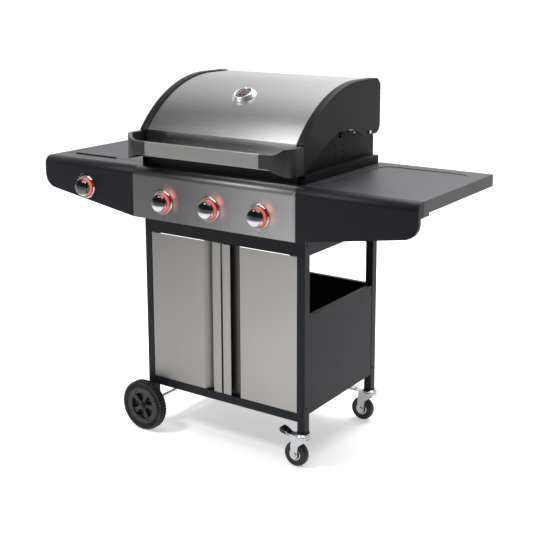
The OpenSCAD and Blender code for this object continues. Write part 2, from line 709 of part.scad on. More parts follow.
// The folded sheet of that cross-section
module panel_sheet() difference() {
    panel_section(0);
    panel_section(sheet);
    translate([shelf_y0, panel_bottom_z - over]) square([2 * panel_round, panel_h + 2 * over]);
    translate([panel_y + sheet, panel_bottom_z - 3 * sheet])
        square([3 * panel_round, deck_z - panel_round - panel_bottom_z]);
}

module control_panel() on_cart() color(steel) difference() {
    union() {
        along_x(-panel_x, panel_x) panel_sheet();
        box(-panel_x, panel_x, shelf_y0 - gap, box_front, deck_z - sheet, deck_z);
        box(-panel_x, panel_x, panel_y, -half_d, panel_bottom_z, panel_bottom_z + sheet);
    }
    for (i = [0 : 2])
        rod_y(panel_y - over, panel_y + sheet + over, knob_places[i][0], knob_z, stem_hole_r);
}

// Front outline in (X, Z) of a shelf front, shrunk by a wall
module shelf_front_outline(shrink) union() {
    centre_x = shelf_x1 - front_corner_r;
    rise = (centre_x - shelf_x0) * tan(front_rise) + front_corner_r / cos(front_rise);
    centre_z = panel_bottom_z + rise;
    r = front_corner_r - shrink;
    translate([centre_x, centre_z]) circle(r = r);
    polygon([
        [shelf_x0, panel_bottom_z + shrink / cos(front_rise)],
        [centre_x + r * sin(front_rise), centre_z - r * cos(front_rise)],
        [centre_x, centre_z], [centre_x + r, centre_z], [centre_x + r, deck_z + over], [shelf_x0, deck_z + over]
    ]);
}

// Right-hand shelf front with its folded-back edge, which runs back to the shelf at the outer end
module shelf_front() intersection() {
    union() {
        along_x(shelf_x0, shelf_x1) panel_sheet();
        intersection() {
            along_x(shelf_x0, shelf_x1) panel_section(0);
            along_y(panel_y, panel_y + 15) difference() {
                shelf_front_outline(0);
                shelf_front_outline(sheet);
            }
        }
        intersection() {
            along_x(shelf_x1 - sheet, shelf_x1) panel_section(0);
            box(shelf_x1 - sheet, shelf_x1, panel_y, shelf_y0, deck_z - skirt_h - 8, deck_z);
        }
    }
    along_y(panel_y - over, shelf_y0) shelf_front_outline(0);
}

module shelf_front_right() on_cart() color(charcoal) shelf_front();
module shelf_front_left() on_cart() color(charcoal) difference() {
    mirror([1, 0, 0]) shelf_front();
    rod_y(panel_y - over, panel_y + sheet + over, knob_places[3][0], knob_places[3][1], stem_hole_r);
}

// ---------- Side shelves ----------

// Rectangle with round corners
module round_rect(x0, x1, y0, y1, r) union() {
    translate([x0 + r, y0]) square([x1 - x0 - 2 * r, y1 - y0]);
    translate([x0, y0 + r]) square([x1 - x0, y1 - y0 - 2 * r]);
    for (x = [x0 + r, x1 - r], y = [y0 + r, y1 - r])
        translate([x, y]) circle(r = r);
}

// Right-hand shelf pan: folded edges and a pressed middle with round corners
module shelf_pan(sink_x0) {
    sink_x1 = shelf_x1 - 47;
    sink_y0 = -inner_y + 4;
    sink_y1 = inner_y - 10;
    x0 = shelf_x0;
    x1 = shelf_x1;
    difference() {
        union() {
            box(x0, x1, shelf_y0, box_rear, deck_z - sheet, deck_z);
            translate([0, 0, deck_z - emboss - sheet]) linear_extrude(emboss)
                round_rect(sink_x0 - sheet, sink_x1 + sheet, sink_y0 - sheet, sink_y1 + sheet, sink_r + sheet);
        }
        translate([0, 0, deck_z - emboss]) linear_extrude(emboss + over)
            round_rect(sink_x0, sink_x1, sink_y0, sink_y1, sink_r);
    }
    box(x0, x0 + sheet, shelf_y0, box_rear, deck_z - skirt_h, deck_z);
    box(x1 - sheet, x1, shelf_y0, box_rear, deck_z - skirt_h, deck_z);
    box(x1 - sheet, x1, shelf_y0, shelf_y0 + 32, deck_z - skirt_h - 8, deck_z);
    box(x0, x1, box_rear - sheet, box_rear, deck_z - skirt_h, deck_z);
    box(x0, x1, shelf_y0, shelf_y0 + sheet, deck_z - skirt_h, deck_z);
}

module shelf_right() on_cart() color([0.22, 0.22, 0.24]) difference() {
    shelf_pan(shelf_x0 + 40);
    slot_x = shelf_x0 + 22;
    for (slot = [[-150, -35], [-22, 172]])
        box(slot_x - 1.5, slot_x + 1.5, slot[0], slot[1], deck_z - 2 * sheet, deck_z + over);
}

// Left-hand shelf: a collar hangs round the side burner's opening
module shelf_left() on_cart() color([0.22, 0.22, 0.24]) mirror([1, 0, 0]) {
    x0 = side_lid_x0 - side_lid_gap;
    x1 = side_lid_x1 + side_lid_gap;
    y0 = side_lid_y0 - side_lid_front_gap;
    difference() {
        union() {
            box(shelf_x0, shelf_x1, shelf_y0, box_rear, deck_z - sheet, deck_z);
            box(x0 - sheet, x1 + sheet, y0 - sheet, side_opening_rear + sheet, deck_z - 27, deck_z - sheet / 2);
        }
        box(x0, x1, y0, side_opening_rear, deck_z - 28, deck_z + over);
        rod_x(x0 - 2 * sheet, x1 + 2 * sheet, side_hinge_y, side_hinge_z, side_pin_r + run_fit);
    }
    box(shelf_x0, shelf_x0 + sheet, shelf_y0, box_rear, deck_z - skirt_h, deck_z);
    box(shelf_x1 - sheet, shelf_x1, shelf_y0, box_rear, deck_z - skirt_h, deck_z);
    box(shelf_x1 - sheet, shelf_x1, shelf_y0, shelf_y0 + 32, deck_z - skirt_h - 8, deck_z);
    box(shelf_x0, shelf_x1, box_rear - sheet, box_rear, deck_z - skirt_h, deck_z);
    box(shelf_x0, shelf_x1, shelf_y0, shelf_y0 + sheet, deck_z - skirt_h, deck_z);
}

// Flush lid of the side burner, with its hinge pins and a finger notch
module side_burner_lid() on_cart() color([0.22, 0.22, 0.24]) mirror([1, 0, 0]) {
    edge_h = 9;
    notch_x0 = side_knob_x - 36;
    notch_x1 = side_knob_x + 41;
    difference() {
        box(side_lid_x0, side_lid_x1, side_lid_y0, side_hinge_y + 2, deck_z - edge_h, deck_z);
        box(side_lid_x0 + sheet, side_lid_x1 - sheet, side_lid_y0 + sheet, side_hinge_y + 2 + over,
            deck_z - edge_h - over, deck_z - sheet);
        box(notch_x0, notch_x1, side_lid_y0 - over, side_lid_y0 + 12, deck_z - edge_h - over, deck_z + over);
    }
    for (x = [side_lid_x0, side_lid_x1])
        rod_x(x - 2.5, x + 2.5, side_hinge_y, side_hinge_z, side_pin_r);
}

// Bowl that hangs in the opening below the lid
module side_burner_bowl() on_cart() color([0.45, 0.45, 0.45]) mirror([1, 0, 0]) difference() {
    x0 = side_lid_x0 - side_lid_gap;
    x1 = side_lid_x1 + side_lid_gap;
    y0 = side_lid_y0 - side_lid_front_gap;
    y1 = side_opening_rear;
    wall_x = 18;
    union() {
        box(x0, x1, y0, y1, bowl_z1 - sheet, bowl_z1);
        box(x0 + wall_x, x1 - wall_x, y0 + wall_x, y1 - wall_x, bowl_z0, bowl_z1);
    }
    box(x0 + wall_x + sheet, x1 - wall_x - sheet, y0 + wall_x + sheet, y1 - wall_x - sheet,
        bowl_z0 + sheet, bowl_z1 + over);
    rod_z(bowl_z0 - over, bowl_z0 + 2 * sheet, side_knob_x, side_burner_y, 15);
}

// Side burner: head, riser and mixing tube
module side_burner() on_cart() color([0.35, 0.35, 0.35]) {
    head_z = bowl_z0 + 10;
    rod_z(head_z, head_z + 12, -side_knob_x, side_burner_y, 36);
    rod_z(head_z + 12, head_z + 17, -side_knob_x, side_burner_y, 30);
    rod_z(side_knob_z, head_z + over, -side_knob_x, side_burner_y, 12);
    rod_z(bowl_z0 + sheet, bowl_z0 + sheet + 3, -side_knob_x, side_burner_y, 22);
    difference() {
        rod_y(box_front, side_burner_y, -side_knob_x, side_knob_z, 9);
        rod_y(box_front - 2, box_front + 30, -side_knob_x, side_knob_z, 7.5);
    }
}

// Four bars that hold a pan over the side burner
module pan_support() on_cart() color([0.2, 0.2, 0.2]) mirror([1, 0, 0]) {
    bar_w = 5;
    x0 = side_lid_x0 + 4;
    x1 = side_lid_x1 - 4;
    y0 = side_lid_y0 + 4;
    y1 = side_hinge_y - 12;
    difference() {
        union() {
            for (s = [-1, 1]) {
                box(x0, x1, side_burner_y + s * 40 - bar_w / 2, side_burner_y + s * 40 + bar_w / 2,
                    bowl_z1, support_z1);
                box(side_knob_x + s * 40 - bar_w / 2, side_knob_x + s * 40 + bar_w / 2, y0, y1, bowl_z1, support_z1);
            }
        }
        box(side_knob_x - 25, side_knob_x + 25, side_burner_y - 25, side_burner_y + 25, bowl_z1 - over, support_z1 + over);
    }
}

// ---------- Lid ----------

// Side outline of the closed lid in (Y, Z), shrunk by a wall, down to a height
module lid_outline(shrink, z0) intersection() {
    union() {
        translate([crown_y, lid_top_z - lid_curve_r]) circle(r = lid_curve_r - shrink, $fn = 180);
        translate([crown_y, z0])
            square([lid_rear - lid_corner_r - crown_y, lid_top_z - shrink - z0]);
        translate([crown_y, z0])
            square([lid_rear - shrink - crown_y, lid_top_z - lid_corner_r - z0]);
        translate([lid_rear - lid_corner_r, lid_top_z - lid_corner_r]) circle(r = lid_corner_r - shrink);
    }
    translate([lid_front + shrink, z0])
        square([lid_rear - lid_front - 2 * shrink, lid_top_z - shrink - z0]);
}

// What the end caps' arched lower edge leaves out
module cap_underside() union() {
    translate([arch_y, arch_z - arch_r]) circle(r = arch_r, $fn = 120);
    polygon([
        [lid_front, lid_bottom_z],
        [lid_front + cap_run * cos(cap_slope), lid_bottom_z + cap_run * sin(cap_slope)],
        [arch_y, arch_z - arch_r], [arch_y, deck_z - 40], [lid_front - 5, deck_z - 40], [lid_front - 5, lid_bottom_z]
    ]);
    translate([arch_y, deck_z - 40]) square([lid_rear + 5 - arch_y, cap_rear_z - deck_z + 40]);
    difference() {
        translate([lid_rear - lid_lobe_r, cap_rear_z - over]) square([lid_lobe_r + 5, lid_lobe_r + over]);
        translate([lid_rear - lid_lobe_r, cap_rear_z + lid_lobe_r]) circle(r = lid_lobe_r);
    }
}

// Curved skin, open at the back below its rear wall
module lid_skin() on_cart() color(steel) difference() {
    skin_x = lid_x - cap_band_w + 1;
    along_x(-skin_x, skin_x) difference() {
        lid_outline(cap_proud, lid_bottom_z);
        lid_outline(cap_proud + sheet, lid_bottom_z - 10);
        translate([crown_y, lid_bottom_z - over])
            square([lid_rear - crown_y + over, skin_rear_z - lid_bottom_z + over]);
    }
    at_thermometer() translate([0, 0, -20]) cylinder(h = 40, r = 5 + 0.3);
}

// End cap: a flat plate with a band that wraps over the skin's edge
module lid_cap() difference() {
    union() {
        along_x(lid_x - cap_t, lid_x) difference() {
            lid_outline(0, lid_bottom_z - 5);
            cap_underside();
        }
        along_x(lid_x - cap_band_w, lid_x - cap_t + over) difference() {
            lid_outline(0, lid_bottom_z - 5);
            lid_outline(cap_proud, lid_bottom_z - 10);
            cap_underside();
            translate([crown_y, lid_bottom_z - 10])
                square([lid_rear - crown_y + over, skin_rear_z - lid_bottom_z + 10]);
        }
    }
    rod_x(lid_x - cap_t - over, lid_x + over, pivot_y, pivot_z, pivot_r + run_fit);
}

module lid_cap_right() on_cart() color(charcoal) lid_cap();
module lid_cap_left() on_cart() color(charcoal) mirror([1, 0, 0]) lid_cap();

// Shouldered bolts that the lid turns on
module lid_pivots() on_cart() color(zinc) both_sides() {
    rod_x(box_x - box_wall - 4, lid_x + 4, pivot_y, pivot_z, pivot_r);
    rod_x(box_x - box_wall - 5, box_x - box_wall - 0.05, pivot_y, pivot_z, 6);
    rod_x(box_x + 0.05, lid_x - cap_t - gap, pivot_y, pivot_z, 6);
    rod_x(lid_x + gap, lid_x + 4, pivot_y, pivot_z, 5.5);
}

module handle_bar() on_cart() color(steel) difference() {
    half_len = handle_len / 2;
    box(-half_len, half_len, -handle_reach, -handle_reach + bar_t, bar_z0, bar_z0 + handle_h);
    box(-half_len - over, half_len + over, -handle_reach + 1.5, -handle_reach + bar_t - 1.5,
        bar_z0 + 1.5, bar_z0 + handle_h - 1.5);
}

// Right-hand bracket: turns from the bar back to the end cap and deepens towards it
module handle_bracket() difference() {
    x0 = handle_len / 2;
    x1 = lid_x;
    turn_x = x1 - bracket_turn_r;
    turn_y = -handle_reach + bracket_turn_r;
    flare_r = 60;
    flare_x = turn_x - 10;
    bar_z1 = bar_z0 + handle_h;
    translate([0, 0, bracket_z0]) linear_extrude(bracket_top - bracket_z0) union() {
        difference() {
            translate([turn_x, turn_y]) circle(r = bracket_turn_r);
            translate([turn_x, turn_y]) circle(r = bracket_turn_r - bracket_t);
            translate([turn_x - 2 * bracket_turn_r, turn_y - 2 * bracket_turn_r])
                square([2 * bracket_turn_r, 4 * bracket_turn_r]);
            translate([turn_x - over, turn_y]) square([2 * bracket_turn_r, 2 * bracket_turn_r]);
        }
        translate([x0, -handle_reach]) square([turn_x - x0, bracket_t]);
        translate([x1 - bracket_t, turn_y]) square([bracket_t, lid_front - turn_y]);
    }
    along_y(-handle_reach - over, lid_front + over) union() {
        polygon([
            [x0 - over, bracket_z0 - over], [x1 - 6, bracket_z0 - over], [x1 - 6, bracket_z0],
            [flare_x, bar_z0], [x0 - over, bar_z0]
        ]);
        translate([flare_x, bar_z1 + flare_r]) circle(r = flare_r);
        translate([x0 - over, bar_z1]) square([flare_x - x0 + over, 2 * flare_r]);
    }
}

module handle_brackets() on_cart() color(charcoal) both_sides() handle_bracket();

// Places a piece on the lid's skin, its Z axis straight out of it
module at_thermometer() translate([0, crown_y, lid_top_z - lid_curve_r]) rotate([thermo_tilt, 0, 0])
    translate([0, 0, lid_curve_r - cap_proud]) children();

module thermometer() on_cart() color(zinc) {
    base_r = thermo_d / 2;
    difference() {
        at_thermometer() rotate_extrude() polygon([
            [0, -4], [base_r, -4], [base_r, 1.5], [base_r - 8, 12], [base_r - 11, 13],
            [base_r - 13, 12], [base_r - 13, 7], [0, 7]
        ]);
        along_x(-base_r - over, base_r + over)
            translate([crown_y, lid_top_z - lid_curve_r]) circle(r = lid_curve_r - cap_proud, $fn = 180);
    }
    at_thermometer() translate([0, 0, -60]) cylinder(h = 62, r = 5);
    at_thermometer() cylinder(h = 9.6, r = 1);
}

module thermometer_needle() on_cart() color([0.85, 0.1, 0.1]) at_thermometer() translate([0, 0, 8]) difference() {
    needle_len = 18;
    union() {
        cylinder(h = 0.8, r = 3);
        linear_extrude(0.8) polygon([[-1.4, -5], [1.4, -5], [0.4, needle_len], [-0.4, needle_len]]);
    }
    translate([0, 0, -over]) cylinder(h = 3, r = 1 + run_fit);
}

leg_front_left();
leg_front_right();
leg_rear_left();
leg_rear_right();
front_rails();
rear_rails();
side_rails();
side_panel_left();
side_panel_right();
back_panel();
bottle_shelf();
castor_fork_front();
castor_fork_rear();
castor_wheel_front();
castor_wheel_rear();
brake_pedal_front();
brake_pedal_rear();
cart_wheel_front();
cart_wheel_rear();
wheel_axle();
door_left();
door_right();
door_hinge_pins();
door_catches();
firebox();
grease_funnel();
burners();
flame_tamers();
grate_left();
grate_right();
warming_rack();
drip_tray();
gas_manifold();
valve_plug_1();
valve_plug_2();
valve_plug_3();
valve_plug_4();
knob_1();
knob_2();
knob_3();
knob_4();
knob_bezels();
glow_rings();
control_panel();
lid_skin();
lid_cap_left();
lid_cap_right();
lid_pivots();
handle_bar();
handle_brackets();
thermometer();
thermometer_needle();
shelf_left();
shelf_right();
shelf_front_left();
shelf_front_right();
side_burner_lid();
side_burner_bowl();
side_burner();
pan_support();
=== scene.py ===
"""Finishes and fine detail for a three-burner gas barbecue, on its fixed frame."""
import json
import math
import bpy
import numpy as np
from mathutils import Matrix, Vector


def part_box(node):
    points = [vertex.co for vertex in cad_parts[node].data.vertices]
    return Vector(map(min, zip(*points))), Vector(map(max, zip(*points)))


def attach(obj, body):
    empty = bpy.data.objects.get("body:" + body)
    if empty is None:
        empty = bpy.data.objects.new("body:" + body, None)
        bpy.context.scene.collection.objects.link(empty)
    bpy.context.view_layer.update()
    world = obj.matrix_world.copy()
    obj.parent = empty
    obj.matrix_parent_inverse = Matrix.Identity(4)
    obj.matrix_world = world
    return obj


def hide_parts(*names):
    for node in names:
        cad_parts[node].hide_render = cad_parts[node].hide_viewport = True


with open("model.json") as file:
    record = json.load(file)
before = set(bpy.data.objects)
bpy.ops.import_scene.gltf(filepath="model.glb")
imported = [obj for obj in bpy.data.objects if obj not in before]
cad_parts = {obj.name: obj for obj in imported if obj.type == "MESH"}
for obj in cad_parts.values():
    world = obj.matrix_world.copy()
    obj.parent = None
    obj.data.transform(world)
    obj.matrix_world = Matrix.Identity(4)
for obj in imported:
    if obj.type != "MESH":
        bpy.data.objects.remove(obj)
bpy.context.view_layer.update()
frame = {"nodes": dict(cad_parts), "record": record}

bl_info = {
    "name": "Gas barbecue finishes",
    "version": (1, 0, 0),
    "blender": (4, 5, 0),
    "location": "3D View > Sidebar > Barbecue",
    "description": "Adds the finishes and the fine detail of a gas barbecue to its frame",
    "category": "Object",
}

BODIES = {node: body for body, nodes in frame["record"]["behaviour"]["bodies"].items() for node in nodes}
JOINTS = {joint["name"]: joint for joint in frame["record"]["behaviour"]["joints"]}
FINISHES = {}
NO_SHADE_HEIGHT = 9.0  # a height in metres that nothing reaches
INSET = 0.0001  # how far a new piece stays inside the box of the part it stands for
POLE = 0.00001  # the radius where a face closes on its axis


# ---------- Sizes and colours that a user may change ----------

class WheelSizes(bpy.types.PropertyGroup):
    ribs: bpy.props.IntProperty(name="Face ribs", description="Radial ribs round a large wheel's face",
                                default=64)
    lugs: bpy.props.IntProperty(name="Tread lugs", description="Lugs round a large wheel's tread", default=52)
    spokes: bpy.props.IntProperty(name="Spokes", description="Spokes of a large wheel", default=5)
    rib_depth: bpy.props.FloatProperty(name="Rib depth", description="Depth between the ribs", default=0.006,
                                       unit="LENGTH")
    lug_depth: bpy.props.FloatProperty(name="Lug depth", description="Depth between the lugs", default=0.0048,
                                       unit="LENGTH")
    dish: bpy.props.FloatProperty(name="Hub recess", description="Depth of the recess round the hub",
                                  default=0.013, unit="LENGTH")


class ControlSizes(bpy.types.PropertyGroup):
    crown: bpy.props.FloatProperty(name="Knob crown", description="Height of a knob's domed face",
                                   default=0.0060, unit="LENGTH")
    pointer: bpy.props.FloatProperty(name="Pointer width", description="Width of the pointer on a knob's rim",
                                     default=0.006, unit="LENGTH")
    ticks: bpy.props.IntProperty(name="Dial ticks", description="Marks in the arc beside each knob",
                                 default=7)
    glow: bpy.props.FloatProperty(name="Ring glow", description="Brightness of the lit rings", default=0.55,
                                  min=0.0)


class TrimSizes(bpy.types.PropertyGroup):
    edge: bpy.props.FloatProperty(name="Edge rounding", default=0.0004, unit="LENGTH",
                                  description="Radius on the folded edges of sheet parts")
    moulded: bpy.props.FloatProperty(name="Moulded rounding", default=0.0022, unit="LENGTH",
                                     description="Radius on the edges of moulded parts")
    glass: bpy.props.FloatProperty(name="Glass dome", description="Height of the thermometer's glass",
                                   default=0.0022, unit="LENGTH")


class Colours(bpy.types.PropertyGroup):
    coat: bpy.props.FloatVectorProperty(name="Frame coat", description="Powder coat of the frame",
                                        subtype="COLOR", default=(0.0098, 0.0105, 0.0142))
    shelf: bpy.props.FloatVectorProperty(name="Shelf coat", description="Powder coat of the side shelves",
                                         subtype="COLOR", default=(0.0185, 0.0200, 0.0250))
    cap: bpy.props.FloatVectorProperty(name="Cap enamel", description="Enamel of the lid's end caps",
                                       subtype="COLOR", default=(0.0070, 0.0076, 0.0100))
    steel: bpy.props.FloatVectorProperty(name="Brushed steel", subtype="COLOR", default=(0.47, 0.47, 0.475),
                                         description="Brushed steel of the lid and the panel")
    door: bpy.props.FloatVectorProperty(name="Door steel", description="Satin steel of the doors",
                                        subtype="COLOR", default=(0.285, 0.275, 0.266))
    ring: bpy.props.FloatVectorProperty(name="Ring", description="Colour of the lit rings", subtype="COLOR",
                                        default=(0.80, 0.120, 0.075))
    floor: bpy.props.FloatVectorProperty(name="Floor", description="Colour of the floor", subtype="COLOR",
                                         default=(0.86, 0.86, 0.86))


# ---------- Finishes: node trees written as arithmetic ----------

def feed(tree, value, socket):
    """Links a field or another node's output to an input, or sets the input's value."""
    if isinstance(value, Field):
        value = value.socket
    if isinstance(value, bpy.types.NodeSocket):
        tree.links.new(value, socket)
    else:
        socket.default_value = value


def new_node(tree, kind, settings=None, sockets=None):
    """A node of one type. Its settings are set first, a ramp's stops as colours, then its inputs are fed."""
    made = tree.nodes.new(kind)
    for name, value in (settings or {}).items():
        if name == "stops":
            for stop, colour in zip(made.color_ramp.elements, value):
                stop.color = colour
        else:
            setattr(made, name, value)
    for place, value in (sockets or {}).items():
        feed(tree, value, made.inputs[place])
    return made


class Field:
    """A value that varies over a surface, so that a finish reads as ordinary arithmetic."""

    def __init__(self, tree, socket):
        self.tree = tree
        self.socket = socket

    def math(self, operation, first, second):
        """One operation on two fields or numbers."""
        made = new_node(self.tree, "ShaderNodeMath", {"operation": operation}, {0: first, 1: second})
        return Field(self.tree, made.outputs[0])

    def __add__(self, other):
        return self.math("ADD", self, other)

    def __radd__(self, other):
        return self.math("ADD", other, self)

    def __sub__(self, other):
        return self.math("SUBTRACT", self, other)

    def __rsub__(self, other):
        return self.math("SUBTRACT", other, self)

    def __mul__(self, other):
        return self.math("MULTIPLY", self, other)

    def __rmul__(self, other):
        return self.math("MULTIPLY", other, self)

    def __truediv__(self, other):
        return self.math("DIVIDE", self, other)

    def __rtruediv__(self, other):
        return self.math("DIVIDE", other, self)

    def between(self, low, high):
        """0 below low, 1 above high and a smooth rise in between."""
        made = new_node(self.tree, "ShaderNodeMapRange", {"interpolation_type": "SMOOTHSTEP"},
                        {"Value": self, "From Min": low, "From Max": high})
        return Field(self.tree, made.outputs["Result"])


class Finish:
    """One material: a principled surface with fields for its colour, roughness and relief."""

    def __init__(self, name, colour, roughness, metallic=0.0, **sockets):
        self.material = bpy.data.materials.new(name)
        self.material.use_nodes = True
        self.tree = self.material.node_tree
        self.surface = self.tree.nodes["Principled BSDF"]
        self.colour = tuple(colour)
        self.surface.inputs["Base Color"].default_value = (*self.colour, 1)
        self.surface.inputs["Roughness"].default_value = roughness
        self.surface.inputs["Metallic"].default_value = metallic
        for socket, value in sockets.items():
            self.surface.inputs[socket.replace("_", " ")].default_value = value
        self.place = new_node(self.tree, "ShaderNodeTexCoord").outputs["Object"]

    def axis(self, letter):
        """The position along one axis of the frame, in metres."""
        split = new_node(self.tree, "ShaderNodeSeparateXYZ", sockets={0: self.place})
        return Field(self.tree, split.outputs[letter])

    def noise(self, scale, detail):
        """Smooth noise; scale is its grain along each axis, in cells a metre."""
        each_way = scale if hasattr(scale, "__len__") else (scale,) * 3
        stretch = new_node(self.tree, "ShaderNodeMapping", sockets={"Vector": self.place, "Scale": each_way})
        made = new_node(self.tree, "ShaderNodeTexNoise", sockets={
            "Vector": stretch.outputs["Vector"], "Scale": 1.0, "Detail": detail, "Roughness": 0.5})
        return Field(self.tree, made.outputs["Fac"])

    def distance(self, across, up):
        """How far a point is from where both fields are 0: the root of the sum of their squares."""
        square = across * across + up * up
        return square.math("POWER", square, 0.5)

    def shade(self, field, low, high):
        """The colour times low where the field is 0 and times high where it is 1."""
        stops = [(*(min(channel * factor, 1.0) for channel in self.colour), 1) for factor in (low, high)]
        ramp = new_node(self.tree, "ShaderNodeValToRGB", {"stops": stops}, {"Fac": field})
        feed(self.tree, ramp.outputs["Color"], self.surface.inputs["Base Color"])

    def rough(self, field):
        """The field is the roughness itself."""
        feed(self.tree, field, self.surface.inputs["Roughness"])

    def relief(self, field, depth, strength):
        """Bumps of that depth, in metres, where the field runs from 0 to 1."""
        made = new_node(self.tree, "ShaderNodeBump", sockets={
            "Height": field, "Distance": depth, "Strength": strength})
        feed(self.tree, made.outputs["Normal"], self.surface.inputs["Normal"])

    def light(self, channels):
        """Light given off, from fields for red, green and blue."""
        mixed = new_node(self.tree, "ShaderNodeCombineColor", sockets=dict(enumerate(channels)))
        feed(self.tree, mixed.outputs[0], self.surface.inputs["Emission Color"])


def powder_coat(name, colour, roughness=0.42, grain=1500.0, gloss=0.14):
    """Sprayed coat: an orange-peel grain under a faint cloud of shade."""
    made = Finish(name, colour, roughness, 0.0, Specular_IOR_Level=gloss)
    cloud = made.noise(9.0, 3.0)
    peel = made.noise(grain, 1.0)
    made.shade(cloud, 0.88, 1.14)
    made.rough(roughness - 0.05 + 0.10 * cloud + 0.05 * peel)
    made.relief(peel, 0.00012, 0.5)
    return made


def brushed(name, colour, roughness=0.30, along="X", depth=0.00003):
    """Steel brushed one way: long streaks in shade, roughness and relief."""
    fine = {"X": (6.0, 1100.0, 1100.0), "Y": (1100.0, 6.0, 1100.0), "Z": (1100.0, 1100.0, 6.0)}[along]
    broad = tuple(value * 0.2 for value in fine)
    made = Finish(name, colour, roughness, 1.0)
    streak = made.noise(fine, 2.0)
    band = made.noise(broad, 2.0)
    cloud = made.noise(5.0, 2.0)
    made.shade(0.55 * streak + 0.25 * band + 0.2 * cloud, 0.84, 1.16)
    made.rough(roughness - 0.07 + 0.10 * streak + 0.06 * cloud)
    made.relief(streak + 0.5 * band, depth, 0.6)
    return made


def plated(name, colour, roughness=0.26):
    """Zinc or nickel plate: a soft spangle and fine pitting."""
    made = Finish(name, colour, roughness, 1.0)
    spangle = made.noise(320.0, 3.0)
    pit = made.noise(1800.0, 1.0)
    made.shade(spangle, 0.80, 1.10)
    made.rough(roughness - 0.08 + 0.16 * spangle)
    made.relief(pit, 0.00005, 0.4)
    return made


def moulded(name, colour, roughness=0.5, grain=700.0):
    """Moulded plastic: a leathery grain with slight mottling."""
    made = Finish(name, colour, roughness)
    grain_field = made.noise(grain, 2.0)
    cloud = made.noise(22.0, 2.0)
    made.shade(cloud, 0.85, 1.18)
    made.rough(roughness - 0.06 + 0.12 * grain_field)
    made.relief(grain_field, 0.00018, 0.5)
    return made


def cast(name, colour, roughness=0.55):
    """Enamelled cast iron: a coarse sandy relief."""
    made = Finish(name, colour, roughness)
    sand = made.noise(420.0, 3.0)
    made.shade(made.noise(30.0, 2.0), 0.7, 1.3)
    made.rough(roughness - 0.08 + 0.16 * sand)
    made.relief(sand, 0.0003, 0.6)
    return made


def polished(name, colour, roughness=0.06):
    """Mirror plate with faint wiping marks in its gloss."""
    made = Finish(name, colour, roughness, 1.0)
    wipe = made.noise((40.0, 160.0, 40.0), 2.0)
    made.shade(wipe, 0.94, 1.04)
    made.rough(roughness - 0.02 + 0.05 * wipe)
    made.relief(made.noise(90.0, 1.0), 0.00002, 0.3)
    return made


# ---------- Surfaces ----------

def grid_piece(name, points, finish, body, around=False, smooth=True):
    """A mesh from a grid of points, rows by columns by three; around joins the last column to the first."""
    rows, columns = points.shape[:2]
    index = np.arange(rows * columns).reshape(rows, columns)
    right = np.roll(index, -1, axis=1) if around else index[:, 1:]
    left = index if around else index[:, :-1]
    quads = np.stack([left[:-1], right[:-1], right[1:], left[1:]], axis=-1).reshape(-1, 4)
    return face_piece(name, points.reshape(-1, 3), quads, finish, body, smooth)


def face_piece(name, points, quads, finish, body, smooth=True):
    """A mesh from points and four-cornered faces, put in as whole arrays."""
    mesh = bpy.data.meshes.new(name)
    mesh.vertices.add(len(points))
    mesh.vertices.foreach_set("co", np.ascontiguousarray(points, np.float32).ravel())
    mesh.loops.add(quads.size)
    mesh.loops.foreach_set("vertex_index", np.ascontiguousarray(quads, np.int32).ravel())
    mesh.polygons.add(len(quads))
    mesh.polygons.foreach_set("loop_start", np.arange(len(quads), dtype=np.int32) * 4)
    mesh.polygons.foreach_set("use_smooth", np.full(len(quads), smooth))
    mesh.update(calc_edges=True)
    mesh.validate()
    mesh.materials.append(finish.material)
    made = bpy.data.objects.new(name, mesh)
    bpy.context.scene.collection.objects.link(made)
    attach(made, body)
    return made


def resampled(profile, step):
    """A profile's corners joined by points no further apart than step, each corner kept."""
    corners = np.array(profile, float)
    spans = np.maximum(np.ceil(np.linalg.norm(np.diff(corners, axis=0), axis=1) / step).astype(int), 1)
    part = np.concatenate([np.arange(count) / count for count in spans])
    leg = np.repeat(np.arange(len(spans)), spans)
    path = corners[leg] + part[:, None] * (corners[leg + 1] - corners[leg])
    return np.vstack([path, corners[-1]])


def turned(profile, centre, axis, segments, upright=(0, 0, 1)):
    """A profile of (radius, distance along the axis) carried round that axis: radius times the cosine and
    sine of the angle on two directions square to it, plus the distance along it."""
    profile = np.array(profile, float)
    axis = np.array(axis, float) / np.linalg.norm(axis)
    side = np.cross(upright, axis)
    side = side / np.linalg.norm(side)
    up = np.cross(axis, side)
    angle = np.linspace(0, 2 * np.pi, segments, endpoint=False)
    spin = np.cos(angle)[:, None] * side + np.sin(angle)[:, None] * up
    return np.array(centre) + profile[:, 0, None, None] * spin + profile[:, 1, None, None] * axis


def pads(centres, along, across, out, length, width, height):
    """Many small raised pads: each centre plus or minus half its length and width, at height 0 and at height
    along its outward direction, with the top drawn in a little."""
    along, across, out = (np.array(v, float) for v in (along, across, out))
    corner = np.array([[-1, -1], [1, -1], [1, 1], [-1, 1]]) / 2.0
    low = along[:, None] * corner[None, :, :1] * length + across[:, None] * corner[None, :, 1:] * width
    high = low * 0.86 + out[:, None] * height
    points = np.concatenate([low, high], axis=1) + np.array(centres)[:, None]
    box_faces = np.array([[4, 5, 6, 7], [0, 1, 5, 4], [1, 2, 6, 5], [2, 3, 7, 6], [3, 0, 4, 7]])
    quads = (box_faces[None] + 8 * np.arange(len(points))[:, None, None]).reshape(-1, 4)
    return points.reshape(-1, 3), quads


def middle(node):
    """The middle of a frame node's box."""
    low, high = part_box(node)
    return np.array([(a + b) / 2 for a, b in zip(low, high)])


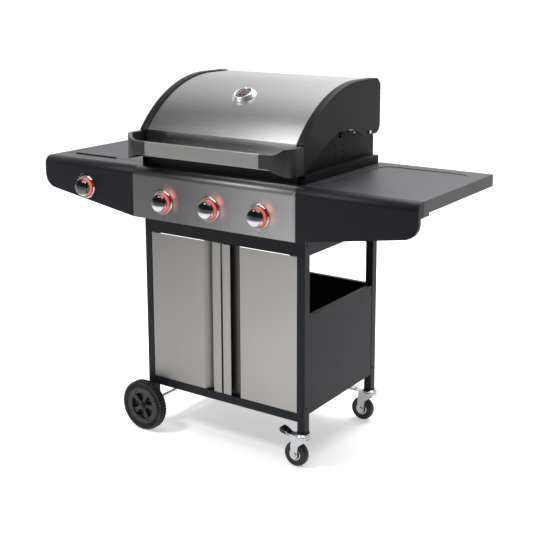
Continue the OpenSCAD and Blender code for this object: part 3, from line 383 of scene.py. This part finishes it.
def rounded_edges(node, width, segments=2):
    """Rounds the edges where a frame node's faces turn by over 30 degrees, with modifiers on its mesh."""
    piece = frame["nodes"][node]
    weld = piece.modifiers.new("joined", "WELD")
    weld.merge_threshold = 0.00001
    bevel = piece.modifiers.new("edge", "BEVEL")
    bevel.width = width
    bevel.segments = segments
    bevel.limit_method = "ANGLE"
    bevel.angle_limit = math.radians(30)
    bevel.use_clamp_overlap = True
    bevel.harden_normals = False
    smooth = piece.modifiers.new("shading", "EDGE_SPLIT")
    smooth.split_angle = math.radians(34)


def coat_node(node, finish):
    """Gives a frame node its finish."""
    piece = frame["nodes"][node]
    if not piece.data.materials:
        piece.data.materials.append(finish.material)
    for place in range(len(piece.data.materials)):
        piece.data.materials[place] = finish.material


# ---------- Pieces ----------

class BARBECUE_OT_frame_finishes(bpy.types.Operator):
    """Gives every frame node its finish and rounds the edges that show"""
    bl_idname = "barbecue.frame_finishes"
    bl_label = "Frame finishes"

    def execute(self, context):
        colours = context.scene.barbecue_colours
        trim = context.scene.barbecue_trim
        panel_colour = [0.62 * channel for channel in colours.steel]
        panel_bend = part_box("control_panel")[1][2] - 0.028
        finishes = {
            "black_steel": powder_coat("black_powder_coat", colours.coat),
            "firebox_enamel": powder_coat("firebox_enamel", (0.0070, 0.0072, 0.0082), 0.5, 1200.0),
            "shelf_paint": powder_coat("shelf_powder_coat", colours.shelf, 0.40, 1700.0, 0.4),
            "cap_paint": powder_coat("cap_enamel", colours.cap, 0.40, 1400.0),
            "lid_steel": self.lid_steel(colours.steel),
            # the door and panel steel carry painted shade from left to right, and the panel's also darkens
            # over its top bend
            "door_steel": self.painted_shade_steel("door_satin_steel", colours.door, 0.42, "Z", (0.80, 1.30)),
            "panel_steel": self.painted_shade_steel("panel_brushed_steel", panel_colour, 0.40, "Z", (0.35, 1.55),
                                             -0.16, panel_bend),
            "handle_steel": brushed("handle_brushed_steel", (0.39, 0.385, 0.375), 0.34),
            "zinc_plate": plated("zinc_plate", (0.56, 0.575, 0.59)),
            "knob_chrome": self.knob_chrome(),
            "bezel_chrome": polished("bezel_chrome", (0.46, 0.46, 0.47), 0.06),
            "bracket_plastic": moulded("bracket_plastic", (0.0130, 0.0134, 0.0150), 0.46),
            "wheel_plastic": moulded("wheel_plastic", (0.0062, 0.0062, 0.0070), 0.46),
            "castor_tread": moulded("castor_tread", (0.011, 0.011, 0.012), 0.6, 500.0),
            "burner_steel": plated("burner_steel", (0.50, 0.49, 0.47), 0.36),
            "inner_steel": plated("inner_steel", (0.22, 0.215, 0.21), 0.45),
            "iron": cast("cast_iron", (0.016, 0.016, 0.017)),
            # the rack's dark colour is painted shade: seen through the gap under the lid's caps, it reads as
            # the shadow there
            "rack_wire": cast("rack_wire", (0.014, 0.014, 0.015), 0.4),
            "gas_brass": plated("gas_brass", (0.62, 0.46, 0.20), 0.3),
            "dial_chrome": polished("dial_chrome", (0.80, 0.80, 0.80), 0.30),
            "needle_red": powder_coat("needle_red", (0.75, 0.03, 0.02), 0.35),
            "catch_plastic": moulded("catch_plastic", (0.62, 0.62, 0.60), 0.45),
            "grip_shade": brushed("grip_shade", (0.150, 0.140, 0.130), 0.45, "Z"),
            "ring_glow": self.lit_ring(colours.ring, context.scene.barbecue_controls.glow),
            "shadow_black": powder_coat("shadow_black", (0.0016, 0.0016, 0.0019), 0.7),
        }
        self.painted_ring_glow(finishes["panel_steel"])
        for entry in frame["record"]["subparts"]:
            coat_node(entry["node"], finishes[entry["material_slot"]])
        FINISHES.update(finishes)
        sheets = ("lid_cap_left", "lid_cap_right", "control_panel", "door_left", "door_right", "shelf_right",
                  "shelf_left", "side_burner_lid", "shelf_front_left", "shelf_front_right", "firebox",
                  "side_panel_left", "side_panel_right", "handle_bar", "back_panel")
        for node in sheets:
            rounded_edges(node, trim.edge)
        for node in ("leg_front_left", "leg_front_right", "leg_rear_left", "leg_rear_right", "front_rails",
                     "rear_rails", "side_rails"):
            rounded_edges(node, trim.edge * 3, 3)
        for node in ("handle_brackets", "brake_pedal_front", "brake_pedal_rear"):
            rounded_edges(node, trim.moulded * (1.0 if node == "handle_brackets" else 0.4), 3)
        for node in ("castor_fork_front", "castor_fork_rear"):
            rounded_edges(node, trim.edge * 1.6, 2)
        for node in ("grate_left", "grate_right", "thermometer", "knob_bezels", "glow_rings", "lid_pivots"):
            rounded_edges(node, trim.edge, 2)
        return {"FINISHED"}

    def lit_ring(self, colour, strength):
        """Tinted plastic that gives off its own colour."""
        made = Finish("lit_ring", colour, 0.3, 0.0, Emission_Color=(*colour, 1), Emission_Strength=strength)
        made.shade(made.noise(60.0, 1.0), 0.85, 1.15)
        return made

    def knob_chrome(self):
        """Mirror plate with a painted reflection: darkened over the upper part of a knob, where it would
        mirror the dark room, and clear below.
        """
        made = polished("knob_chrome", (0.42, 0.42, 0.43), 0.04)
        above = made.axis("Z") - middle("valve_plug_1")[2]
        wipe = made.noise((40.0, 160.0, 40.0), 2.0)
        # painted reflection: the face is dark above a line a little below the knob's middle and bright below
        # it
        made.shade(0.10 * wipe + 0.90 * above.between(-0.0085, -0.0045), 1.15, 0.22)
        return made

    def lid_steel(self, colour):
        """Brushed steel with painted light: painted shade that brightens it towards the right, and a painted
        highlight low down at the right-hand end.
        """
        made = brushed("lid_brushed_steel", colour, 0.25, "X", 0.00002)
        streak = made.noise((5.0, 700.0, 700.0), 2.0)
        across = made.axis("X")
        # corner marks where the painted highlight lies, low down at the lid's right-hand end
        corner = across.between(0.03, 0.27) * (1.0 - made.axis("Z").between(0.95, 1.07))
        # the brushing streaks plus painted shade running from dark at the left to bright at the right
        grain_and_painted_shade = 0.30 * streak + 0.70 * across.between(-0.30, 0.30)
        made.shade(0.31 * grain_and_painted_shade + 0.60 * corner, 0.60, 2.40)
        return made

    def painted_shade_steel(self, name, colour, roughness, along, ends, start=-0.30, shade_from=NO_SHADE_HEIGHT):
        """Brushed steel with painted shade: its colour runs between two factors from left to right, and
        painted shade darkens it above the height where the sheet bends away."""
        made = brushed(name, colour, roughness, along, 0.00002)
        streak = made.noise((700.0, 700.0, 5.0) if along == "Z" else (5.0, 700.0, 700.0), 2.0)
        # bend masks the painted shade over the bend at the top of the sheet
        bend = made.axis("Z").between(shade_from, shade_from + 0.022)
        # the brushing streaks plus a painted shade from left to right
        grain_and_painted_shade = 0.30 * streak + 0.70 * made.axis("X").between(start, 0.30)
        low, high = ends
        made.shade((low + (high - low) * grain_and_painted_shade) * (1.0 - 0.80 * bend) / high, 0.0, high)
        return made

    def painted_ring_glow(self, made):
        """Painted light on the panel, given off as its own glow: the ring light as a band round each of its
        three knobs, kept where its direction is to the upper right, and a painted glint strongest in a narrow
        part of that."""
        across, up = made.axis("X"), made.axis("Z")
        total = 0.0
        for number in range(1, 4):
            plug = middle("valve_plug_%d" % number)
            right, above = across - plug[0], up - plug[2]
            reach = made.distance(right, above)
            band = reach.between(0.0300, 0.0390) * (1.0 - reach.between(0.0400, 0.0640))
            toward = ((0.90 * right + 0.44 * above) / reach).between(0.35, 1.0)
            spark = ((0.77 * right + 0.64 * above) / reach).between(0.93, 1.0)
            total = total + band * (0.55 * toward + 0.75 * toward * spark)
        made.light([share * total for share in (0.60, 0.17, 0.14)])
        made.surface.inputs["Emission Strength"].default_value = 1.0


class BARBECUE_OT_large_wheels(bpy.types.Operator):
    """Makes the two large wheels with ribbed faces, lugged treads and spoked hubs"""
    bl_idname = "barbecue.large_wheels"
    bl_label = "Large wheels"

    def execute(self, context):
        sizes = context.scene.barbecue_wheels
        finish = FINISHES["wheel_plastic"]
        for end, facing in (("front", -1.0), ("rear", 1.0)):
            node = "cart_wheel_" + end
            low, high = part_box(node)
            self.wheel("large_wheel_" + end, node, middle(node), facing, high[2] - low[2], high[1] - low[1],
                       sizes, finish)
        return {"FINISHED"}

    def wheel(self, name, node, centre, facing, diameter, width, sizes, finish):
        """A closed profile carried round the axle. Its distance along the axle drops between the face ribs,
        in the hub's recess and in the small holes, and its radius drops between the tread's lugs."""
        radius = diameter / 2 - INSET
        half = width / 2 - INSET
        bore = 0.0052
        ribs_from = 0.0590
        web_from, web_to = 0.0148, 0.0405
        holes, hole_circle, hole_radius = 4, 0.0500, 0.0019
        profile = resampled([
            (bore, half - 0.002), (0.0120, half - 0.002), (0.0140, half - 0.004), (0.0410, half - 0.004),
            (0.0430, half - 0.0006), (0.0560, half - 0.0006), (0.0580, half), (radius - 0.0060, half),
            (radius - 0.0015, half - 0.0012), (radius, half - 0.0050), (radius, 0.0030),
            (radius - 0.0040, 0.0020), (radius - 0.0040, -0.0020), (radius, -0.0030), (radius, -half + 0.005),
            (radius - 0.0020, -half + 0.001), (radius - 0.0080, -half), (0.0430, -half + 0.001),
            (0.0400, -half + 0.005), (0.0140, -half + 0.005), (0.0120, -half + 0.003), (bore, -half + 0.003),
            (bore, half - 0.002)
        ], 0.0016)
        turn = np.linspace(0, 2 * np.pi, 624, endpoint=False)[None, :]
        r = profile[:, 0, None] + 0 * turn
        y = profile[:, 1, None] + 0 * turn
        outer = (profile[:, 1, None] > half - 0.008) & (r < radius - 0.002)

        def step(value, edge, soft):
            """0 below the edge and 1 above it, with a soft change over about that width."""
            return 1 / (1 + np.exp(-(value - edge) / soft))

        rib = step(np.cos(turn * sizes.ribs), 0.15, 0.12)
        ring = step(r, ribs_from, 0.0004) * (1 - step(r, radius - 0.0075, 0.0004))
        y = y - outer * ring * (1 - rib) * sizes.rib_depth
        spoke_half = 0.0052 + 0.0038 * step(r, 0.026, 0.0025)
        sway = np.abs(np.sin(turn * sizes.spokes / 2)) * r * 2 / sizes.spokes
        open_web = step(sway, spoke_half, 0.0006) * step(r, web_from, 0.0006) * (1 - step(r, web_to, 0.0006))
        y = y - outer * open_web * sizes.dish
        hole_sway = np.abs(np.sin((turn - 0.5) * holes / 2)) * r * 2 / holes
        from_hole = np.hypot(hole_sway, r - hole_circle)
        y = y - outer * (1 - step(from_hole, hole_radius, 0.0002)) * 0.004
        tread = (np.abs(profile[:, 1, None]) > 0.0025) * (r > radius - 0.0030)
        lug = step(np.cos(turn * sizes.lugs), -0.1, 0.12)
        r = r - tread * (1 - lug) * sizes.lug_depth
        points = np.stack([centre[0] + r * np.cos(turn), centre[1] + facing * y,
                           centre[2] + r * np.sin(turn)], -1)
        points = points if facing > 0 else points[::-1]
        made = grid_piece(name, points, finish, BODIES[node], True)
        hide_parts(node)


class BARBECUE_OT_knobs(bpy.types.Operator):
    """Makes the four chromed knobs, each domed with a pointer on its rim, and the painted shadow in the
    grooves round them
    """
    bl_idname = "barbecue.knobs"
    bl_label = "Knobs"

    def execute(self, context):
        sizes = context.scene.barbecue_controls
        for number in range(1, 5):
            node = "knob_%d" % number
            low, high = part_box(node)
            centre = middle(node)
            radius = (high[0] - low[0]) / 2 - INSET
            self.knob("chrome_" + node, node, centre, low[1] + INSET, high[1], radius, sizes)
            # a painted shadow ring in each bezel's groove
            self.groove_shadow("knob_groove_%d" % number, centre)
        return {"FINISHED"}

    def knob(self, name, node, centre, front, back, radius, sizes):
        """Rings from the back edge over the rim to the middle of the face. The face is a shallow dome, and
        the rim swells outwards over a narrow angle to make the pointer."""
        skirt = back - 0.009
        rim = front + sizes.crown
        angle = np.linspace(0, 2 * np.pi, 240, endpoint=False)[None, :]
        fillet = np.linspace(0, np.pi / 2, 9)
        swell = 0.0022
        neck = radius - swell
        stem = radius * 0.40
        side = [(stem, back), (stem, skirt), (radius - 0.001, skirt), (radius, skirt - 0.001),
                (radius, rim + 0.0080), (neck, rim + 0.0066)]
        edge = [(neck - 0.002 + 0.002 * math.cos(t), rim + 0.002 - 0.002 * math.sin(t)) for t in fillet]
        inner = [(r, rim) for r in np.linspace(neck - 0.0022, POLE, 40)]
        rows = np.array(side + edge + inner)
        r = rows[:, 0, None] + 0 * angle
        y = rows[:, 1, None] + 0 * angle
        face = (np.arange(len(rows)) >= len(side) + len(edge))[:, None]
        dome = (rim - front) * (1 - (r / neck) ** 2)
        y = y - face * dome
        across = np.abs(np.angle(np.exp(1j * (angle - np.pi)))) * radius
        pointer = 1 / (1 + np.exp((across - sizes.pointer / 2) / 0.0003))
        first = len(side) - 1
        body = np.isin(np.arange(len(rows)), np.arange(first, first + len(edge)))[:, None]
        r = np.minimum(r + body * pointer * swell, radius)
        points = np.stack([centre[0] + r * np.cos(angle), y, centre[2] + r * np.sin(angle)], -1)
        made = grid_piece(name, points, FINISHES["knob_chrome"], BODIES[node], True)
        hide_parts(node)

    def groove_shadow(self, name, centre):
        """A flat black ring on the bezel's floor, between the lit ring and the bezel's bright rim: a painted
        shadow in the groove there.
        """
        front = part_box("knob_bezels")[1][1] - 0.0050
        inner, outer, half = 0.0291, 0.0308, 0.0003
        section = [(inner, -half), (inner, half), (outer, half), (outer, -half), (inner, -half)]
        ring = turned(section, (centre[0], front, centre[2]), (0, -1, 0), 96)
        grid_piece(name, ring[::-1], FINISHES["shadow_black"], "cart", True, False)


class BARBECUE_OT_panel_marks(bpy.types.Operator):
    """Prints the arc of ticks beside each knob and the dot below it"""
    bl_idname = "barbecue.panel_marks"
    bl_label = "Panel marks"

    def execute(self, context):
        sizes = context.scene.barbecue_controls
        dark = moulded("mark_ink", (0.012, 0.012, 0.013), 0.5)
        light = moulded("mark_ink_light", (0.62, 0.62, 0.62), 0.5)
        for number in range(1, 5):
            plug = middle("valve_plug_%d" % number)
            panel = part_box("control_panel")[0][1]
            centre = np.array([plug[0], panel, plug[2]])
            turn = np.radians(np.linspace(112, 200, sizes.ticks))
            out = np.stack([np.cos(turn), 0 * turn, np.sin(turn)], -1)
            across = np.stack([-np.sin(turn), 0 * turn, np.cos(turn)], -1)
            front = np.tile([0.0, -1.0, 0.0], (len(turn), 1))
            points, quads = pads(centre + out * 0.0425, out, across, front, 0.0036, 0.0014, 0.0002)
            dot_points, dot_quads = pads(centre + np.array([[0.0, 0.0, -0.046]]), [[1, 0, 0]], [[0, 0, 1]],
                                         [[0, -1, 0]], 0.0028, 0.0028, 0.0002)
            points = np.vstack([points, dot_points])
            quads = np.vstack([quads, dot_quads + 8 * len(turn)])
            ink, slot = (dark, "black_steel") if number < 4 else (light, "catch_plastic")
            face_piece("knob_marks_%d" % number, points, quads, ink, "cart", False)
        return {"FINISHED"}


class BARBECUE_OT_thermometer(bpy.types.Operator):
    """Makes the thermometer's body, its dark dial, its marks and its glass"""
    bl_idname = "barbecue.thermometer"
    bl_label = "Thermometer"

    def execute(self, context):
        joint = JOINTS["thermometer_turn"]
        out = np.array(joint["axis"], float)
        out = out if out[2] > 0 else -out
        centre = np.array(joint["pos_m"], float) - out * 0.0014
        low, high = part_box("thermometer")
        foot = (high[0] - low[0]) / 2 - INSET
        profile = [(0.0250, 0.0000), (0.0250, 0.0052), (0.0258, 0.0058), (0.0270, 0.0060), (0.0282, 0.0056),
                   (0.0292, 0.0046), (foot - 0.0016, -0.0048), (foot - 0.0004, -0.0060), (foot, -0.0080),
                   (foot, -0.0110)]
        body = turned(profile, centre, out, 128, (1, 0, 0))
        made = grid_piece("thermometer_body", body[::-1], FINISHES["dial_chrome"], "lid", True)
        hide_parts("thermometer")
        dial = moulded("dial_black", (0.008, 0.008, 0.009), 0.45)
        marks = moulded("dial_marks", (0.80, 0.80, 0.78), 0.5)
        disc = turned([(POLE, 0.0003), (0.0246, 0.0003), (0.0247, -0.0001)], centre, out, 96, (1, 0, 0))
        grid_piece("thermometer_dial", disc[::-1], dial, "lid", True)
        side = np.array([1.0, 0.0, 0.0])
        up = np.cross(out, side)
        count = 27
        turn = np.radians(np.linspace(-40, 220, count))
        spoke = np.cos(turn)[:, None] * side + np.sin(turn)[:, None] * up
        across = -np.sin(turn)[:, None] * side + np.cos(turn)[:, None] * up
        length = np.where(np.arange(count) % 2 == 0, 1.0, 0.6)[:, None]
        points, quads = pads(centre + out * 0.0003 + spoke * 0.0205, spoke * length, across,
                             np.tile(out, (count, 1)), 0.0042, 0.0011, 0.00015)
        face_piece("thermometer_scale", points, quads, marks, "lid", False)
        glass = Finish("dial_glass", (1.0, 1.0, 1.0), 0.03, 0.0, Transmission_Weight=1.0, IOR=1.22)
        glass.rough(0.02 + 0.03 * glass.noise(50.0, 1.0))
        lens = 0.0249
        reach = np.linspace(lens, POLE, 14)
        height = context.scene.barbecue_trim.glass
        dome = [(r, 0.0040 + height * (1 - (r / lens) ** 2)) for r in reach]
        under = [(r, z - 0.0008) for r, z in dome[::-1]]
        shell = turned(under + dome, centre, out, 96, (1, 0, 0))
        grid_piece("thermometer_glass", shell, glass, "lid", True)
        return {"FINISHED"}


class BARBECUE_OT_fasteners(bpy.types.Operator):
    """Adds the screw heads, the castors' races and discs, and the small trim, among it dark strips of painted
    shadow
    """
    bl_idname = "barbecue.fasteners"
    bl_label = "Fasteners"

    def execute(self, context):
        low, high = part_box("leg_front_right")
        rear_low, rear_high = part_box("leg_rear_right")
        places = []
        for y in ((low[1] + high[1]) / 2, (rear_low[1] + rear_high[1]) / 2):
            for z in (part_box("side_rails")[0][2] + 0.03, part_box("side_panel_right")[0][2] + 0.02):
                places.append((y, z))
        for name, x, direction in (("right", high[0], 1.0), ("left", -high[0], -1.0)):
            heads = [turned([(0.0001, 0.0021), (0.0020, 0.0020), (0.0036, 0.0014), (0.0044, 0.0004),
                             (0.0045, -0.0002)], (x, y, z), (direction, 0, 0), 32) for y, z in places]
            self.together("frame_screws_" + name, heads, FINISHES["black_steel"], "cart", "black_steel")
        for end in ("front", "rear"):
            centre = np.array(JOINTS["castor_%s_swivel" % end]["pos_m"], float)
            ring = turned(resampled([(0.0238, 0.0945), (0.0256, 0.0965), (0.0258, 0.0985), (0.0252, 0.1010),
                                     (0.0236, 0.1024), (0.0215, 0.1030)], 0.0008),
                          (centre[0], centre[1], 0.0), (0, 0, 1), 96, (0, 1, 0))
            self.together("castor_race_" + end, [ring], FINISHES["zinc_plate"], "castor_" + end, "zinc_plate")
            self.castor_hub(end, FINISHES["zinc_plate"])
        self.pedal_tip(FINISHES["bracket_plastic"])
        for end, facing in (("front", -1.0), ("rear", 1.0)):
            self.hub_cap(end, facing, FINISHES["wheel_plastic"])
        # painted shadow in the right-hand door's grip pocket
        self.grip_pocket_shadow(FINISHES["grip_shade"])
        self.panel_bead(FINISHES["handle_steel"])
        # painted shadow of the gap under the side burner lid's front edge
        self.lid_gap_shadow(FINISHES["shadow_black"])
        return {"FINISHED"}

    def grip_pocket_shadow(self, finish):
        """A thin dark strip on the back of the right-hand door's grip pocket: a painted shadow in the pocket.
        """
        low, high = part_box("door_right")
        back = low[1] + 0.0204
        edge = low[0] + 0.0022
        corners = [(edge, low[2] + 0.001), (edge + 0.0440, low[2] + 0.001), (edge + 0.0440, high[2] - 0.001),
                   (edge, high[2] - 0.001)]
        rows = np.array([[(x, y, z) for x, z in corners] for y in (back, back - 0.0004)])
        sides = [[0, 1, 5, 4], [1, 2, 6, 5], [2, 3, 7, 6], [3, 0, 4, 7], [4, 5, 6, 7], [3, 2, 1, 0]]
        face_piece("grip_pocket_shadow", rows.reshape(-1, 3), np.array(sides), finish, "door_right",
                   False)

    def panel_bead(self, finish):
        """The rolled edge down the panel's right-hand end, as a half-round bead."""
        low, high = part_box("control_panel")
        turn = np.linspace(0, np.pi, 13)[None, :, None]
        height = np.array([low[2] + 0.002, high[2] - 0.016])[:, None, None]
        x = high[0] - 0.0050 + 0.0030 * np.cos(turn) + 0 * height
        y = low[1] + 0.0004 - 0.0026 * np.sin(turn) + 0 * height
        points = np.concatenate([x, y, height + 0 * turn], axis=-1)
        grid_piece("panel_bead", points[::-1], finish, "cart")

    def lid_gap_shadow(self, finish):
        """A black strip on the left shelf, along the front edge of the side burner's lid: a painted shadow of
        the gap under the lid's edge.
        """
        low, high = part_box("side_burner_lid")
        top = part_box("shelf_left")[1][2]
        ends = np.array([low[0] + 0.030, (low[0] + high[0]) / 2 + 0.050])[:, None]
        y = low[1] - np.array([0.0042, 0.0042, 0.0006, 0.0006])[None, :] + 0 * ends
        z = top + np.array([0.0002, 0.0034, 0.0034, 0.0002])[None, :] + 0 * ends
        points = np.stack([ends + 0 * y, y, z], axis=-1)
        grid_piece("lid_gap_shadow", points, finish, "cart", True, False)

    def castor_hub(self, end, finish):
        """A pale disc let into each side of a castor wheel, with a raised rim."""
        low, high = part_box("castor_wheel_" + end)
        centre = middle("castor_wheel_" + end)
        face = (high[1] - low[1]) / 2
        profile = [(0.0050, 0.0), (0.0150, 0.0), (0.0165, 0.0008), (0.0180, 0.0008), (0.0190, -0.0030)]
        discs = [turned([(r, face - 0.0020 + d) for r, d in profile], centre, (0, side, 0), 64)
                 for side in (-1, 1)]
        self.together("castor_hub_" + end, discs, finish, BODIES["castor_wheel_" + end], "zinc_plate")

    def pedal_tip(self, finish):
        """A black sleeve over the front pedal's outer end: a rounded box, a little larger than the pedal."""
        low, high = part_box("brake_pedal_front")
        centre, half = (low[1] + high[1]) / 2, (high[1] - low[1]) / 2 + 0.0020
        ring = np.array([(-1, -1), (1, -1), (1, 1), (-1, 1)], float)
        rows = []
        for out, bottom, top, grow in ((-0.0010, -0.0010, 0.0050, 0.80), (0.0000, -0.0030, 0.0065, 0.97),
                                       (0.0060, -0.0070, 0.0055, 1.0), (0.0180, -0.0105, 0.0010, 0.92),
                                       (0.0290, -0.0130, -0.0030, 0.70)):
            rows.append([(low[0] + out, centre + c[0] * half * grow, high[2] + (bottom if c[1] < 0 else top))
                         for c in ring])
        grid_piece("pedal_tip", np.array(rows)[::-1], finish, "brake_front", True, False)

    def hub_cap(self, end, facing, finish):
        """A black domed cap over the axle's end."""
        centre = middle("cart_wheel_" + end)
        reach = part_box("wheel_axle")[0 if facing < 0 else 1][1]
        profile = [(0.0001, 0.0032), (0.0045, 0.0029), (0.0080, 0.0018), (0.0098, 0.0002), (0.0102, -0.0020),
                   (0.0102, -0.0048)]
        cap = turned(profile, (centre[0], reach, centre[2]), (0, facing, 0), 48)
        self.together("axle_cap_" + end, [cap], finish, "cart", "wheel_plastic")

    def together(self, name, grids, finish, body, slot):
        """Several grids of one size as one piece."""
        rows, columns = grids[0].shape[:2]
        index = np.arange(rows * columns).reshape(rows, columns)
        right = np.roll(index, -1, axis=1)
        quads = np.stack([index[:-1], index[1:], right[1:], right[:-1]], axis=-1).reshape(-1, 4)
        points = np.concatenate([grid.reshape(-1, 3) for grid in grids])
        every = (quads[None] + rows * columns * np.arange(len(grids))[:, None, None]).reshape(-1, 4)
        return face_piece(name, points, every, finish, body)


class BARBECUE_OT_stage(bpy.types.Operator):
    """Sets the pale floor, with a glow of its own and a painted falloff of light, the soft light and the
    camera
    """
    bl_idname = "barbecue.stage"
    bl_label = "Stage"

    def execute(self, context):
        colours = context.scene.barbecue_colours
        mesh = bpy.data.meshes.new("floor")
        mesh.from_pydata([(-30, -30, 0), (30, -30, 0), (30, 30, 0), (-30, 30, 0)], [], [(0, 1, 2, 3)])
        floor = bpy.data.objects.new("floor", mesh)
        context.scene.collection.objects.link(floor)
        paint = Finish("floor_with_painted_falloff", colours.floor, 0.9, 0.0, Emission_Strength=0.50)
        # painted light: the floor glows, and both its colour and its glow fall off away in front of the
        # object
        near = 0.02 * paint.noise(0.6, 1.0) + 0.98 * paint.axis("Y").between(-3.2, -0.90)
        paint.shade(near, 0.55, 1.0)
        lit = 0.22 + 0.78 * near
        paint.light([lit] * 3)
        mesh.materials.append(paint.material)
        self.sky(context)
        self.lamp(context, "key_light", (-0.9, -1.5, 2.25), (0.1, -0.1, 0.9), 0.6, 30)
        self.lamp(context, "side_light", (-0.95, -0.70, 2.75), (0.24, -0.17, 1.03), 0.8, 1.25)
        self.lamp(context, "top_light", (0.3, 1.3, 3.0), (0, 0, 0.9), 2.2, 60)
        self.sun(context, "wide_sun", (0.1, 0.1, 1.0), 50.0, 1.8)
        data = bpy.data.cameras.new("camera")
        data.lens = 69.67
        data.sensor_width = 36.0
        data.shift_x = -0.0335
        data.shift_y = -0.1640
        data.clip_end = 100
        camera = bpy.data.objects.new("camera", data)
        context.scene.collection.objects.link(camera)
        camera.location = (1.7997, -2.5601, 1.4013)
        camera.rotation_euler = (math.radians(79.0653), 0.0, math.radians(33.5201))
        context.scene.camera = camera
        context.scene.view_settings.view_transform = "Standard"
        return {"FINISHED"}

    def sky(self, context):
        """Soft surroundings: white behind the object and dark behind the camera."""
        world = bpy.data.worlds.new("soft_surroundings")
        world.use_nodes = True
        context.scene.world = world
        tree = world.node_tree
        place = new_node(tree, "ShaderNodeTexCoord")
        split = new_node(tree, "ShaderNodeSeparateXYZ", sockets={0: place.outputs["Generated"]})
        across, ahead = (Field(tree, split.outputs[name]) for name in "XY")
        behind = (0.83 * ahead - 0.55 * across).between(0.15, 0.75)
        glow = 0.09 + 1.01 * behind
        grey = new_node(tree, "ShaderNodeCombineColor", sockets={0: glow, 1: glow, 2: glow})
        feed(tree, grey.outputs[0], tree.nodes["Background"].inputs["Color"])
        tree.nodes["Background"].inputs["Strength"].default_value = 1.0

    def sun(self, context, name, direction, spread, strength):
        """A broad sun that lights the whole floor alike."""
        data = bpy.data.lights.new(name, "SUN")
        data.energy = strength
        data.angle = math.radians(spread)
        lamp = bpy.data.objects.new(name, data)
        context.scene.collection.objects.link(lamp)
        lamp.rotation_euler = Vector(direction).to_track_quat("Z", "Y").to_euler()

    def lamp(self, context, name, place, target, size, power):
        """A round soft lamp at a place, aimed at a target."""
        data = bpy.data.lights.new(name, "AREA")
        data.shape = "DISK"
        data.size = size
        data.energy = power
        lamp = bpy.data.objects.new(name, data)
        context.scene.collection.objects.link(lamp)
        lamp.location = place
        lamp.rotation_euler = (Vector(target) - Vector(place)).to_track_quat("-Z", "Y").to_euler()


STEPS = (
    BARBECUE_OT_frame_finishes, BARBECUE_OT_large_wheels, BARBECUE_OT_knobs, BARBECUE_OT_panel_marks,
    BARBECUE_OT_thermometer, BARBECUE_OT_fasteners, BARBECUE_OT_stage,
)


class BARBECUE_PT_steps(bpy.types.Panel):
    """Lists the steps and their sizes"""
    bl_idname = "BARBECUE_PT_steps"
    bl_label = "Barbecue"
    bl_space_type = "VIEW_3D"
    bl_region_type = "UI"
    bl_category = "Barbecue"

    def draw(self, context):
        for step in STEPS:
            self.layout.operator(step.bl_idname)
        for group in ("barbecue_wheels", "barbecue_controls", "barbecue_trim", "barbecue_colours"):
            settings = getattr(context.scene, group)
            box = self.layout.box()
            for name in settings.bl_rna.properties.keys():
                if name not in ("rna_type", "name"):
                    box.prop(settings, name)


GROUPS = {"barbecue_wheels": WheelSizes, "barbecue_controls": ControlSizes, "barbecue_trim": TrimSizes,
          "barbecue_colours": Colours}


def register():
    for made in (*GROUPS.values(), *STEPS, BARBECUE_PT_steps):
        bpy.utils.register_class(made)
    for name, group in GROUPS.items():
        setattr(bpy.types.Scene, name, bpy.props.PointerProperty(type=group))


def unregister():
    for name in GROUPS:
        delattr(bpy.types.Scene, name)
    for made in (BARBECUE_PT_steps, *reversed(STEPS), *reversed(list(GROUPS.values()))):
        bpy.utils.unregister_class(made)


def main():
    register()
    for step in STEPS:
        group, name = step.bl_idname.split(".")
        getattr(getattr(bpy.ops, group), name)()


if __name__ == "__main__":
    main()
